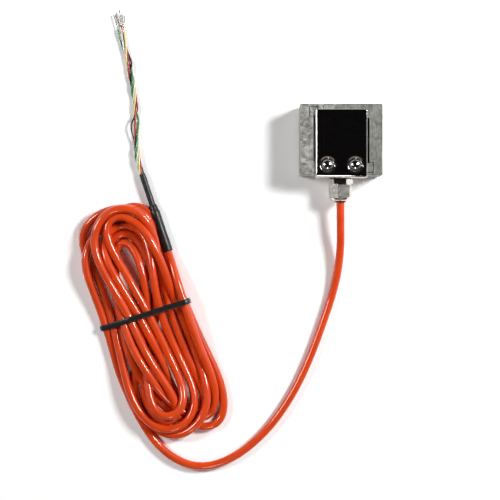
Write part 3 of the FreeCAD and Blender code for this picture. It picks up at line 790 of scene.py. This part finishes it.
    def turn(self, knee: np.ndarray, way: np.ndarray, crown: np.ndarray,
             across: np.ndarray, layers: tuple[float, float]) -> np.ndarray:
        """Points of a quarter turn, from its knee up to but without the crown.

        Args:
            knee: Where the turn begins.
            way: The leg's direction there.
            crown: The furthest point of the bight.
            across: The strand's direction at the crown.
            layers: The layer it lies in at the knee and at the crown.

        Returns:
            Rows of across, along and layer.
        """
        reach = np.linalg.solve(np.array([way, -across]).T, crown - knee)[0]
        corner = knee + reach * way
        run = float(np.linalg.norm(corner - knee) + np.linalg.norm(crown - corner))
        count = max(3, round(0.8 * run / self.step))
        share = np.arange(count)[:, None] / count
        weights = np.hstack([(1 - share) ** 2, 2 * self.roundness * share * (1 - share),
                             share ** 2])
        plan = weights @ np.array([knee, corner, crown]) / weights.sum(1, keepdims=True)
        return np.hstack([plan, layers[0] + (layers[1] - layers[0]) * share])

    def laid_out(self) -> np.ndarray:
        """The hank's points before it settles, bight after bight.

        Returns:
            Rows of across, along and height, in the hank's own plan.
        """
        rows = [np.array(self.entry)]
        lane, layer = self.first_lane, 0.0
        for bight in self.bights:
            start, end = np.array([lane, 0.0]), np.array([bight.lane, 0.0])
            knee, crown, back = map(np.array, (bight.out_knee, bight.crown, bight.back_knee))
            across = (back - knee) / np.linalg.norm(back - knee)
            at_knee, at_crown, at_back, at_lane = bight.layers
            for tie, turn_start, layers, bow in (
                    (start, knee, (layer, at_knee), bight.bows[0]),
                    (end, back, (at_lane, at_back), bight.bows[1])):
                way = turn_start - tie - np.array([4 * bow, 0.0])
                half = np.vstack([
                    self.leg(tie, turn_start, layers, bow),
                    self.turn(turn_start, way, crown, across, (layers[1], at_crown)),
                ])
                if tie is end:
                    rows += [np.array([[*crown, at_crown]]), half[:0:-1]]
                else:
                    rows.append(half)
            lane, layer = bight.lane, at_lane
        rows += [np.array([[lane, 0.0, layer]]), np.array(self.leaving)]
        points = np.vstack(rows)
        points[:, 2] = self.diameter * (points[:, 2] + 0.5)
        ease = 0.5 * self.near_tie(points, self.tie_reach)
        for _ in range(self.smooth_passes):
            between = (points[:-2, :2] + points[2:, :2]) / 2
            points[1:-1, :2] += (between - points[1:-1, :2]) * ease[1:-1]
        return points

    @staticmethod
    def near_tie(points: np.ndarray, reach: float) -> np.ndarray:
        """A column that is 1 at the tie and falls off to 0 over a reach along the hank."""
        return np.exp(-(points[:, 1:2] / reach) ** 2)

    def wind(self) -> None:
        """Lay the hank out and let it settle, which gives its strands."""
        laid = self.laid_out()
        ground = self.diameter / 2 + self.tie_lift * self.near_tie(laid, self.tie_half)[:, 0]
        ceiling = np.minimum(self.waist + self.rise * np.abs(laid[:, 1]), self.highest)
        self.strands = self.settling.settled(laid, self.diameter, ground, ceiling,
                                             self.near_tie(laid, self.tie_reach))

    def control_points(self) -> np.ndarray:
        """Every control point of the cable, from inside the gland to the jacket's end.

        Returns:
            Rows of x, y and z.
        """
        radius = self.diameter / 2
        lead = [(0.0, self.inner_end, self.gland_level)]
        for x, y, gap in self.route:
            lead.append((x, y, self.gland_level if gap is None else gap + radius))
        hank = self.placed(self.strands)
        along = heading(self.sleeve_lean)
        inside = [hank[-1] + along * self.jacket_end / 2, hank[-1] + along * self.jacket_end]
        return np.vstack([lead, hank, inside])

    def build(self) -> bpy.types.Object:
        """Make the cable and dress it.

        Returns:
            The cable's curve.
        """
        self.wind()
        points = self.control_points()
        piece = cord_curve("orange_cable", points, self.diameter, 5, 8)
        stand_in(piece, self.finish.material(), "cable_jacket",
                 "cable_lead", "cable_hank", "cable_tail")
        log.info("orange cable's length: %.0f mm", length_of(line_of(points, 6)))
        return piece

    def tie_crossings(self) -> np.ndarray:
        """Where the strands pass the tie.

        Returns:
            Rows of across and height.
        """
        line = line_of(self.strands, 6)
        before, after = line[:-1], line[1:]
        crossing = before[:, 1] * after[:, 1] <= 0
        before, after = before[crossing], after[crossing]
        share = before[:, 1:2] / (before[:, 1:2] - after[:, 1:2] + 1e-9)
        return (before + (after - before) * share)[:, [0, 2]]


@dataclass
class HankTie:
    """The black elastic tie, drawn tight round the hank."""

    width: float = 4.3
    thickness: float = 1.4
    skew: tuple[float, float] = (0.75, 0.023)    # along the hank: shift, and tilt per mm across
    rim_steps: int = 48                  # round each strand that the tie may lie on
    section_steps: int = 16
    section_power: float = 0.6           # under 1, the section is a rounded rectangle
    finish: DarkPolymerFinish = DarkPolymerFinish(
        "elastic cord, woven", "1A1E1C", "070808", 0.38, (0.5, 0.9, 0.5), 0.5)

    @staticmethod
    def hull_side(points: np.ndarray) -> list[np.ndarray]:
        """One side of the tight loop round some points.

        Args:
            points: Across and height, in order from one end of the loop to the other.

        Returns:
            The points that the loop touches on that side, without the last.
        """
        kept: list[np.ndarray] = []
        for point in points:
            while len(kept) > 1:
                a, b = kept[-1] - kept[-2], point - kept[-2]
                if a[0] * b[1] - a[1] * b[0] > 0:
                    break
                kept.pop()
            kept.append(point)
        return kept[:-1]

    def outline(self, crossings: np.ndarray, radius: float) -> np.ndarray:
        """The tight loop round the strands' round sections.

        Args:
            crossings: Middles of the strands at the tie: across and height.
            radius: The strands' radius.

        Returns:
            The tie's middle line: across and height, in order.
        """
        half = self.thickness * 0.5
        turn = np.linspace(0, 2 * math.pi, self.rim_steps + 1)[:-1]
        rim = np.column_stack([np.cos(turn), np.sin(turn)]) * (radius + half)
        cloud = (crossings[:, None] + rim[None]).reshape(-1, 2)
        cloud = cloud[cloud[:, 1] > half - 1e-6]
        cloud = cloud[np.lexsort((cloud[:, 1], cloud[:, 0]))]
        return np.array(self.hull_side(cloud) + self.hull_side(cloud[::-1]))

    def section(self) -> np.ndarray:
        """The band's own section, a rectangle with round corners.

        Returns:
            Its corners, in the section's plane.
        """
        turn = 2 * math.pi * np.arange(self.section_steps) / self.section_steps
        round_off = [np.sign(c) * np.abs(c) ** self.section_power
                     for c in (np.cos(turn), np.sin(turn))]
        return np.column_stack([round_off[0] * self.width / 2,
                                round_off[1] * self.thickness / 2, np.zeros(len(turn))])

    def build(self, cable: OrangeCable) -> bpy.types.Object:
        """Make the tie round the cable's hank.

        Args:
            cable: The cable, already laid.

        Returns:
            The tie.
        """
        loop = self.outline(cable.tie_crossings(), cable.diameter / 2)
        shift, tilt = self.skew
        plan = np.column_stack([loop[:, 0], shift + tilt * loop[:, 0], loop[:, 1]])
        piece = closed_loop("hank_tie_band", cable.placed(plan))
        section = closed_loop("tie_section", self.section())
        piece.data.bevel_mode = "OBJECT"
        piece.data.bevel_object = section
        activate(piece)
        bpy.ops.object.convert(target="MESH")
        piece = bpy.context.view_layer.objects.active
        bpy.data.objects.remove(section)
        weld(piece, 0.01, True)
        bpy.ops.object.shade_smooth_by_angle(angle=math.radians(50))
        stand_in(piece, self.finish.material(), "tie_elastic", "hank_tie")
        return piece


@dataclass
class Sleeves:
    """The two heat-shrink sleeves at the jacket's end."""

    radius: float = 3.85
    length: float = 37.0
    neck: float = 5.0                    # where the large sleeve shrinks onto the small one
    small_radius: float = 2.35
    small_start: float = 31.0
    small_end: float = 62.0
    bore: float = 3.12
    around: int = 40
    swell: float = 0.07                  # how unevenly they shrank
    finish: DarkPolymerFinish = DarkPolymerFinish(
        "polyolefin heat-shrink, black", "16191B", "0A0B0C", 0.42, (1.6, 1.6, 1.6), 0.25)

    def tube(self, name: str, rings: list[tuple[float, float]],
             place: Matrix) -> bpy.types.Object:
        """A round piece drawn ring by ring along its own axis.

        Args:
            name: The piece's name.
            rings: Distance along the axis and radius of each ring.
            place: Where the axis lies.

        Returns:
            The piece.
        """
        deselect()
        first, radius = rings[0]
        bpy.ops.mesh.primitive_circle_add(vertices=self.around, radius=radius * MM,
                                          location=(0, 0, first * MM))
        piece = bpy.context.active_object
        piece.name = piece.data.name = name
        bpy.ops.object.transform_apply(location=True, rotation=False, scale=False)
        bpy.ops.object.mode_set(mode="EDIT")
        bpy.ops.mesh.select_all(action="SELECT")
        for (before, old), (along, new) in zip(rings, rings[1:]):
            bpy.ops.mesh.extrude_region_move(
                TRANSFORM_OT_translate={"value": (0, 0, (along - before) * MM)})
            bpy.ops.transform.resize(value=(new / old, new / old, 1.0),
                                     center_override=(0, 0, along * MM))
        bpy.ops.mesh.select_all(action="SELECT")
        bpy.ops.mesh.normals_make_consistent(inside=False)
        bpy.ops.object.mode_set(mode="OBJECT")
        piece.data.transform(place)
        bpy.ops.object.shade_smooth_by_angle(angle=math.radians(40))
        return piece

    def large_rings(self) -> list[tuple[float, float]]:
        """The large sleeve: its cut edge, its swollen run, and the neck down to the small one.

        Returns:
            Distance along the axis and radius of each ring.
        """
        neck = self.length - self.neck
        rings = [(0.9, self.bore), (0.0, self.bore + 0.05), (0.0, self.radius - 0.15),
                 (0.25, self.radius)]
        rings += [(neck * t, self.radius + self.swell * math.sin(9 * t) - 0.1 * t * t)
                  for t in np.linspace(0.04, 0.97, 22)]
        rings += [(neck, self.radius - 0.2), (neck + 1.0, self.radius - 0.55)]
        rings += [(self.length - back, self.small_radius + wall)
                  for back, wall in ((1.5, 0.85), (0.3, 0.6), (0.0, 0.4), (0.0, 0.0))]
        return rings

    def small_rings(self) -> list[tuple[float, float]]:
        """The small sleeve: its run and its cut edge.

        Returns:
            Distance along the axis and radius of each ring.
        """
        rings = [(along, self.small_radius + 0.05 * math.sin(0.9 * along))
                 for along in np.linspace(self.small_start, self.small_end - 0.3, 24)]
        rings += [(self.small_end - back, self.small_radius - wall)
                  for back, wall in ((0.0, 0.15), (0.0, 0.5), (1.5, 0.55))]
        return rings

    def build(self, start: np.ndarray, lean: float) -> list[bpy.types.Object]:
        """Make both sleeves.

        Args:
            start: Where the large sleeve begins, in millimetres.
            lean: Its direction, in degrees from +Y towards -X.

        Returns:
            The large and the small sleeve.
        """
        place = (Matrix.Translation(Vector(start) * MM)
                 @ Matrix.Rotation(math.radians(lean), 4, "Z")
                 @ Matrix.Rotation(math.radians(-90), 4, "X"))
        material = self.finish.material()
        pieces = []
        for name, rings in (("large_sleeve", self.large_rings()),
                            ("small_sleeve", self.small_rings())):
            piece = self.tube(f"{name}_shrunk", rings, place)
            stand_in(piece, material, "shrink_sleeve", name)
            pieces.append(piece)
        return pieces


class Insulation(Enum):
    """The wires' colours: each one's clean and its deeper tone."""

    RED = ("C22A34", "A01E28")
    BLACK = ("121212", "080808")
    GREEN = ("4A9A66", "34804E")
    WHITE = ("ECEBE4", "D6D5CC")
    YELLOW = ("EFE79C", "DFD47E")

    @property
    def word(self) -> str:
        """The colour's name, as the nodes spell it."""
        return self.name.lower()

    def finish(self, where: str = "") -> JacketFinish:
        """The finish of a wire of this colour, in one place or another."""
        return JacketFinish(f"PVC insulation{where}, {self.word}", *self.value)


@dataclass(frozen=True)
class Wire:
    """How one wire of the bundle is cut and how it strays."""

    colour: Insulation
    trim: float                          # how much shorter its insulation is
    tip: float                           # length of its tinned end
    fan: float                           # sideways spread at the end
    loose: float                         # how far it strays from the bundle
    stray_turns: float
    bow: float = 0.0                     # sideways, of the one that stands off near the sleeve


@dataclass
class WireBundle:
    """The five insulated wires, loosely twisted, with tinned ends."""

    sleeve_end: float                    # from the large sleeve's start
    jacket_end: float
    diameter: float = 1.3
    lay_radius: float = 1.15
    turns: float = 2.3                   # of twist in 100 mm
    uneven: tuple[float, float] = (0.035, 9.0)   # how much the twist varies, and how fast
    opening: tuple[float, float] = (0.86, 0.3)   # in 100 mm, where the ends open and how long
    bowed: tuple[float, float] = (0.38, 0.1)     # in 100 mm, where a wire bows and how long
    droop: float = 11.0
    spacing: float = 0.5                 # between places on the middle line
    # Corners of the bundle past the sleeve: along +Y, towards -X, and the gap under it.
    route: tuple = ((34.0, 4.2, 0.0), (57.0, 5.2, 0.0), (76.0, 8.6, 0.0),
                    (95.0, 13.4, 0.0), (113.5, 16.8, 0.0))
    wires: tuple[Wire, ...] = (
        Wire(Insulation.RED, 0.0, 11.5, 1.0, 0.4, 1.7),
        Wire(Insulation.BLACK, 5.5, 12.5, 3.6, 1.3, 1.2, 4.2),
        Wire(Insulation.GREEN, 3.0, 12.0, -2.8, 0.6, 2.1),
        Wire(Insulation.WHITE, 1.5, 11.0, -0.6, 0.8, 1.5),
        Wire(Insulation.YELLOW, 4.0, 12.5, 2.2, 0.5, 1.9),
    )
    strands: int = 3                     # in a tinned end
    strand_radius: float = 0.2
    tin: PlatedMetalFinish = PlatedMetalFinish("tinned copper strands", "C9C4BC", "8E8A84", 0.3)

    def middle_line(self, start: np.ndarray, lean: float) -> np.ndarray:
        """The bundle's middle line, from the jacket's end.

        Args:
            start: Where the large sleeve begins, in millimetres.
            lean: Its direction, in degrees from +Y towards -X.

        Returns:
            Places at an even spacing.
        """
        along = heading(lean)
        rest = self.lay_radius + self.diameter / 2
        end = start + along * self.sleeve_end
        points = [start + along * self.jacket_end, end, end + along * self.droop]
        points += [(end[0] - across, end[1] + up, gap + rest) for up, across, gap in self.route]
        line = line_of(np.array(points, float), 30)
        run = np.concatenate([[0], np.cumsum(np.linalg.norm(np.diff(line, axis=0), axis=1))])
        even = np.arange(0, run[-1], self.spacing)
        return np.column_stack([np.interp(even, run, line[:, k]) for k in range(3)])

    def wire_points(self, index: int, middle: np.ndarray) -> np.ndarray:
        """Control points of one wire, twisted round the bundle's middle line.

        Args:
            index: Which wire.
            middle: The bundle's middle line.

        Returns:
            The wire's control points, in millimetres.
        """
        wire = self.wires[index]
        way = np.gradient(middle, axis=0)
        way /= np.linalg.norm(way, axis=1, keepdims=True)
        side = np.column_stack([way[:, 1], -way[:, 0], np.zeros(len(middle))])
        side /= np.linalg.norm(side, axis=1, keepdims=True)
        up = np.cross(side, way)
        run = np.arange(len(middle)) * self.spacing
        free = np.clip((run - (self.sleeve_end - self.jacket_end)) / 100.0, 0.0, None)
        depth, pace = self.uneven
        phase = 2 * math.pi * (index / len(self.wires)
                               + self.turns * (free + depth * np.sin(pace * free)))
        stray = np.clip(free * 6, 0, 1) * wire.loose * np.sin(
            2 * math.pi * wire.stray_turns * free + 1.3 * index) ** 2
        reach = self.lay_radius + stray
        ending = np.clip((free - self.opening[0]) / self.opening[1], 0, 1) ** 1.5
        place, span = self.bowed
        sideways = (reach * np.sin(phase) * (1 - ending) + wire.fan * ending
                    - wire.bow * np.exp(-((free - place) / span) ** 2))
        upwards = reach * np.cos(phase) * (1 - ending)
        places = middle + side * sideways[:, None] + up * upwards[:, None]
        places[:, 2] = np.maximum(places[:, 2], self.diameter / 2)
        return places[:len(places) - round(wire.trim / self.spacing):3]

    def tip(self, wire: Wire, end: np.ndarray, way: np.ndarray) -> bpy.types.Object:
        """The tinned end of one wire: thin strands twisted into one, a little open at the tip.

        Args:
            wire: The wire.
            end: Where its insulation ends.
            way: The wire's direction there.

        Returns:
            The tip.
        """
        run = np.linspace(0, 1, 25)
        spread = (wire.fan * 0.25) * run ** 2
        open_up = self.strand_radius * (1 + 0.8 * run ** 3)
        side = np.array([way[1], -way[0], 0.0])
        curves = []
        for k in range(self.strands):
            phase = 2 * math.pi * (k / self.strands + 2.2 * run)
            places = (end + way * (run[:, None] * wire.tip - 0.4)
                      + side * (spread + open_up * np.sin(phase))[:, None])
            places[:, 2] += open_up * np.cos(phase)
            places[:, 2] = np.maximum(places[:, 2], self.strand_radius)
            curves.append(cord_curve(f"strand_{k}", places, 1.9 * self.strand_radius, 2, 1))
        deselect()
        for curve in curves:
            curve.select_set(True)
        bpy.context.view_layer.objects.active = curves[0]
        bpy.ops.object.convert(target="MESH")
        bpy.ops.object.join()
        piece = bpy.context.view_layer.objects.active
        piece.name = piece.data.name = f"tinned_end_{wire.colour.word}"
        bpy.ops.object.shade_smooth_by_angle(angle=math.radians(60))
        return piece

    def build(self, start: np.ndarray, lean: float) -> None:
        """Args:
            start: Where the large sleeve begins, in millimetres.
            lean: Its direction, in degrees from +Y towards -X.
        """
        middle = self.middle_line(start, lean)
        tin = self.tin.material()
        for index, wire in enumerate(self.wires):
            word = wire.colour.word
            points = self.wire_points(index, middle)
            piece = cord_curve(f"insulated_wire_{word}", points, self.diameter, 3, 4)
            stand_in(piece, wire.colour.finish().material(), f"wire_{word}", f"wire_{word}")
            way = points[-1] - points[-3]
            end = self.tip(wire, points[-1], way / np.linalg.norm(way))
            stand_in(end, tin, "tinned_copper", f"wire_tip_{word}")
            length = length_of(line_of(points, 4)) * MM
            log.info("wire %s: %.0f mm", word, length / MM)


# --- the cell -----------------------------------------------------------------------------------
class Side(Enum):
    """Which half of the cell, and its sign along X."""

    LEFT = -1
    RIGHT = 1

    @property
    def word(self) -> str:
        """The side's name, as the nodes spell it."""
        return self.name.lower()


@dataclass
class LoadCell:
    """The sensing block with its cover, screws, seals and inner pieces."""

    thread_pitch: float = 1.25
    thread_root: float = 3.4
    thread_crest: float = 3.05
    thread_depth: float = 8.6
    thread_start: float = 0.5            # inside the load face
    block: ArmFinish = ArmFinish()
    sheet: MirrorFinish = MirrorFinish()
    screw: PlatedMetalFinish = PlatedMetalFinish(
        "zinc-plated steel screw", "E4E4E2", "B4B3B0", 0.13, 0.8, 0.1)
    seal: DarkPolymerFinish = DarkPolymerFinish("nitrile rubber", "232323", "0D0D0D", 0.55)
    foil: PlatedMetalFinish = PlatedMetalFinish("constantan foil on film", "C98A3C", "9A6428",
                                                0.35, 0.6)
    board: DarkPolymerFinish = DarkPolymerFinish("glass-epoxy board", "2F6B3A", "1E4A28", 0.4)
    chip: DarkPolymerFinish = DarkPolymerFinish("alumina chip", "3A3A3C", "18181A", 0.4)

    def load_thread(self, side: Side, material: bpy.types.Material) -> None:
        """Turn the fine thread in one load hole from one tooth.

        Args:
            side: Which load hole.
            material: The block's finish.
        """
        low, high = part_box("load_cell_body")
        mouth = high[0] if side is Side.RIGHT else low[0]
        deselect()
        bpy.ops.mesh.primitive_plane_add(size=1.0)
        piece = bpy.context.active_object
        piece.name = piece.data.name = f"load_thread_{side.word}"
        tooth = ((self.thread_root, 0.0), (self.thread_crest, 0.45),
                 (self.thread_root, 1.05), (self.thread_crest, 0.6))
        for vertex, (radius, along) in zip(piece.data.vertices, tooth):
            vertex.co = (radius * MM, 0.0, along * MM)
        bpy.ops.object.mode_set(mode="EDIT")
        bpy.ops.mesh.select_all(action="SELECT")
        bpy.ops.mesh.delete(type="ONLY_FACE")
        bpy.ops.object.mode_set(mode="OBJECT")
        screw = piece.modifiers.new("turns", "SCREW")
        screw.axis = "Z"
        screw.screw_offset = self.thread_pitch * MM
        screw.iterations = int(self.thread_depth / self.thread_pitch)
        screw.steps = screw.render_steps = 40
        bpy.ops.object.modifier_apply(modifier=screw.name)
        weld(piece, 0.005, True)
        inwards = Matrix.Rotation(math.radians(-90 * side.value), 4, "Y")
        start = Vector((mouth - side.value * self.thread_start * MM, 0.0,
                        (low[2] + high[2]) / 2))
        piece.data.transform(Matrix.Translation(start) @ inwards)
        bpy.ops.object.shade_smooth_by_angle(angle=math.radians(40))
        stand_in(piece, material, "plated_steel")

    def build(self) -> None:
        """Dress the block, its load threads, the cover, the screws and the seals."""
        steel = self.block.material()
        dressed_copy("load_cell_body", "s_block", steel, "plated_steel", 25.0)
        for side in Side:
            self.load_thread(side, steel)
        dressed_copy("sensor_cover", "mirror_cover", self.sheet.material(), "polished_cover",
                     24.0)
        bright, rubber = self.screw.material(), self.seal.material()
        for face in ("front", "rear"):
            for side in Side:
                dressed_copy(f"{face}_screw_{side.word}", f"{face}_cover_screw_{side.word}",
                             bright, "screw_steel", 38.0)
        for node in ("front_pocket_seal", "rear_pocket_seal"):
            dressed_copy(node, f"{node}_ring", rubber, "black_rubber", 38.0)

    def build_inside(self) -> None:
        """Dress the gauges, board, resistors and the wires inside the block."""
        foil, chip = self.foil.material(), self.chip.material()
        for face in ("front", "rear"):
            for side in Side:
                node = f"{face}_gauge_{side.word}"
                dressed_copy(node, f"{node}_foil", foil, "gauge_foil", 32.0)
        dressed_copy("terminal_board", "solder_board", self.board.material(), "board", 32.0)
        for side in Side:
            node = f"trim_resistor_{side.word}"
            dressed_copy(node, f"{node}_chip", chip, "resistor", 32.0)
        for colour in Insulation:
            node = f"board_lead_{colour.word}"
            dressed_copy(node, f"{node}_insulated", colour.finish(" inside").material(),
                         f"wire_{colour.word}", 60.0)


@dataclass
class CableGland:
    """The cable gland: body, cap nut, claw, seals and washers."""

    nickel: PlatedMetalFinish = PlatedMetalFinish(
        "nickel-plated brass, turned", "F6F4EE", "BCB8AC", 0.15, 0.9, 0.42)
    plastic: DarkPolymerFinish = DarkPolymerFinish("polyamide, moulded", "3A3C3E", "26282A", 0.45)
    rubber: DarkPolymerFinish = DarkPolymerFinish("nitrile rubber, black", "1E1A1A", "0A0808",
                                                  0.5)
    metal_nodes: tuple = ("gland_body", "gland_dome_nut", "port_washer")
    rubber_nodes: tuple = ("gland_o_ring", "gland_seal")

    def build(self) -> None:
        """Dress every piece of the gland."""
        nickel, rubber = self.nickel.material(), self.rubber.material()
        for node in self.metal_nodes:
            dressed_copy(node, f"{node}_plated", nickel, "nickel_brass", 30.0)
        for node in self.rubber_nodes:
            dressed_copy(node, f"{node}_rubber", rubber, "black_rubber", 38.0)
        dressed_copy("gland_claw", "gland_claw_moulded", self.plastic.material(),
                     "claw_plastic", 38.0)


# --- the stage ----------------------------------------------------------------------------------
@dataclass
class Studio:
    """The floor, the soft light and the camera."""

    eye: tuple[float, float, float] = (-67.8, -82.0, 1200.0)
    lens: float = 113.9
    floor_size: float = 6.0              # metres
    world_level: float = 0.62
    pale: tuple[str, str] = ("DCDCE0", "F0F0F4")     # the room near the floor
    shade: str = "3A3839"
    ceiling: str = "161415"
    low_wall: tuple[str, str] = ("101010", "141212")
    wall: str = "A2968E"                 # the front wall's pale band
    # Lamps: name, place in metres, width and height in metres, power in watts.
    lamps: tuple = (
        ("right_softbox", (0.68, 0.28, 0.76), 0.28, 0.28, 12.5),
        ("left_softbox", (-0.84, 0.16, 0.76), 0.24, 0.24, 4.8),
        ("front_lamp", (-0.02, -0.84, 0.80), 0.20, 0.20, 1.5),
    )

    def floor(self) -> None:
        """Lay the pale floor, which keeps the object's shadow."""
        deselect()
        bpy.ops.mesh.primitive_plane_add(size=self.floor_size)
        floor = bpy.context.active_object
        floor.name = "floor"
        floor.data.materials.append(TableFinish(middle=self.eye[:2]).material())

    def world(self) -> None:
        """A pale room with a dark ceiling, a wall at its front, and a white backdrop."""
        world = bpy.data.worlds.new("room")
        bpy.context.scene.world = world
        world.use_nodes = True
        tree = world.node_tree
        tree.nodes.clear()
        way = add(tree, "ShaderNodeTexCoord").outputs["Generated"]
        split = add(tree, "ShaderNodeSeparateXYZ", links={0: way})
        height = {"Fac": split.outputs["Z"]}
        room = add(tree, "ShaderNodeValToRGB", links=height,
                   stops=((0.0, self.pale[0]), (0.2, self.pale[1]), (0.38, self.shade),
                          (0.6, self.ceiling), (1.0, self.ceiling)))
        front = add(tree, "ShaderNodeValToRGB", links=height,
                    stops=((0.0, self.low_wall[0]), (0.22, self.low_wall[1]), (0.32, self.wall),
                           (0.52, self.wall), (0.62, self.ceiling), (1.0, self.ceiling)))
        forwards = add(tree, "ShaderNodeMapRange", {"From Min": -0.35, "From Max": -0.6},
                       {"Value": split.outputs["Y"]})
        tone = add(tree, "ShaderNodeMix",
                   links={0: forwards.outputs[0], 6: room.outputs["Color"],
                          7: front.outputs["Color"]}, data_type="RGBA")
        seen = add(tree, "ShaderNodeLightPath").outputs["Is Camera Ray"]
        backdrop = add(tree, "ShaderNodeMix", {7: (*(1 / self.world_level,) * 3, 1.0)},
                       {0: seen, 6: tone.outputs[2]}, data_type="RGBA")
        sky = add(tree, "ShaderNodeBackground", {"Strength": self.world_level},
                  {"Color": backdrop.outputs[2]})
        add(tree, "ShaderNodeOutputWorld", links={"Surface": sky.outputs[0]})

    def light(self) -> None:
        """Hang the lamps, each turned towards the object."""
        target = Vector((self.eye[0] * MM, self.eye[1] * MM, 0.0))
        for name, place, width, height, power in self.lamps:
            data = bpy.data.lights.new(name, "AREA")
            data.shape = "RECTANGLE"
            data.size, data.size_y = width, height
            data.energy = power
            lamp = in_scene(name, data)
            lamp.location = place
            lamp.rotation_euler = (target - lamp.location).to_track_quat("-Z", "Y").to_euler()

    def camera(self) -> None:
        """Set the camera straight above, looking down."""
        data = bpy.data.cameras.new("camera")
        data.lens = self.lens
        data.sensor_width = 36.0
        data.clip_end = 20.0
        camera = in_scene("camera", data)
        camera.location = Vector(self.eye) * MM
        bpy.context.scene.camera = camera

    def build(self) -> None:
        """Set up the whole stage."""
        self.camera()
        self.floor()
        self.world()
        self.light()
        bpy.context.scene.view_settings.view_transform = "Standard"
        log.info("stage set")


def main() -> None:
    """Build every piece round the frame, in order."""
    logging.basicConfig(level=logging.INFO, format="%(name)s: %(message)s")
    Studio().build()
    cable, shrink = OrangeCable(), Sleeves()
    jacket = cable.build()
    tie = HankTie().build(cable)
    start = cable.placed(cable.strands[-1:])[0]
    sleeves = shrink.build(start, cable.sleeve_lean)
    WireBundle(shrink.small_end, cable.jacket_end).build(start, cable.sleeve_lean)
    cell = LoadCell()
    cell.build()
    cell.build_inside()
    CableGland().build()


if __name__ == "__main__":
    main()
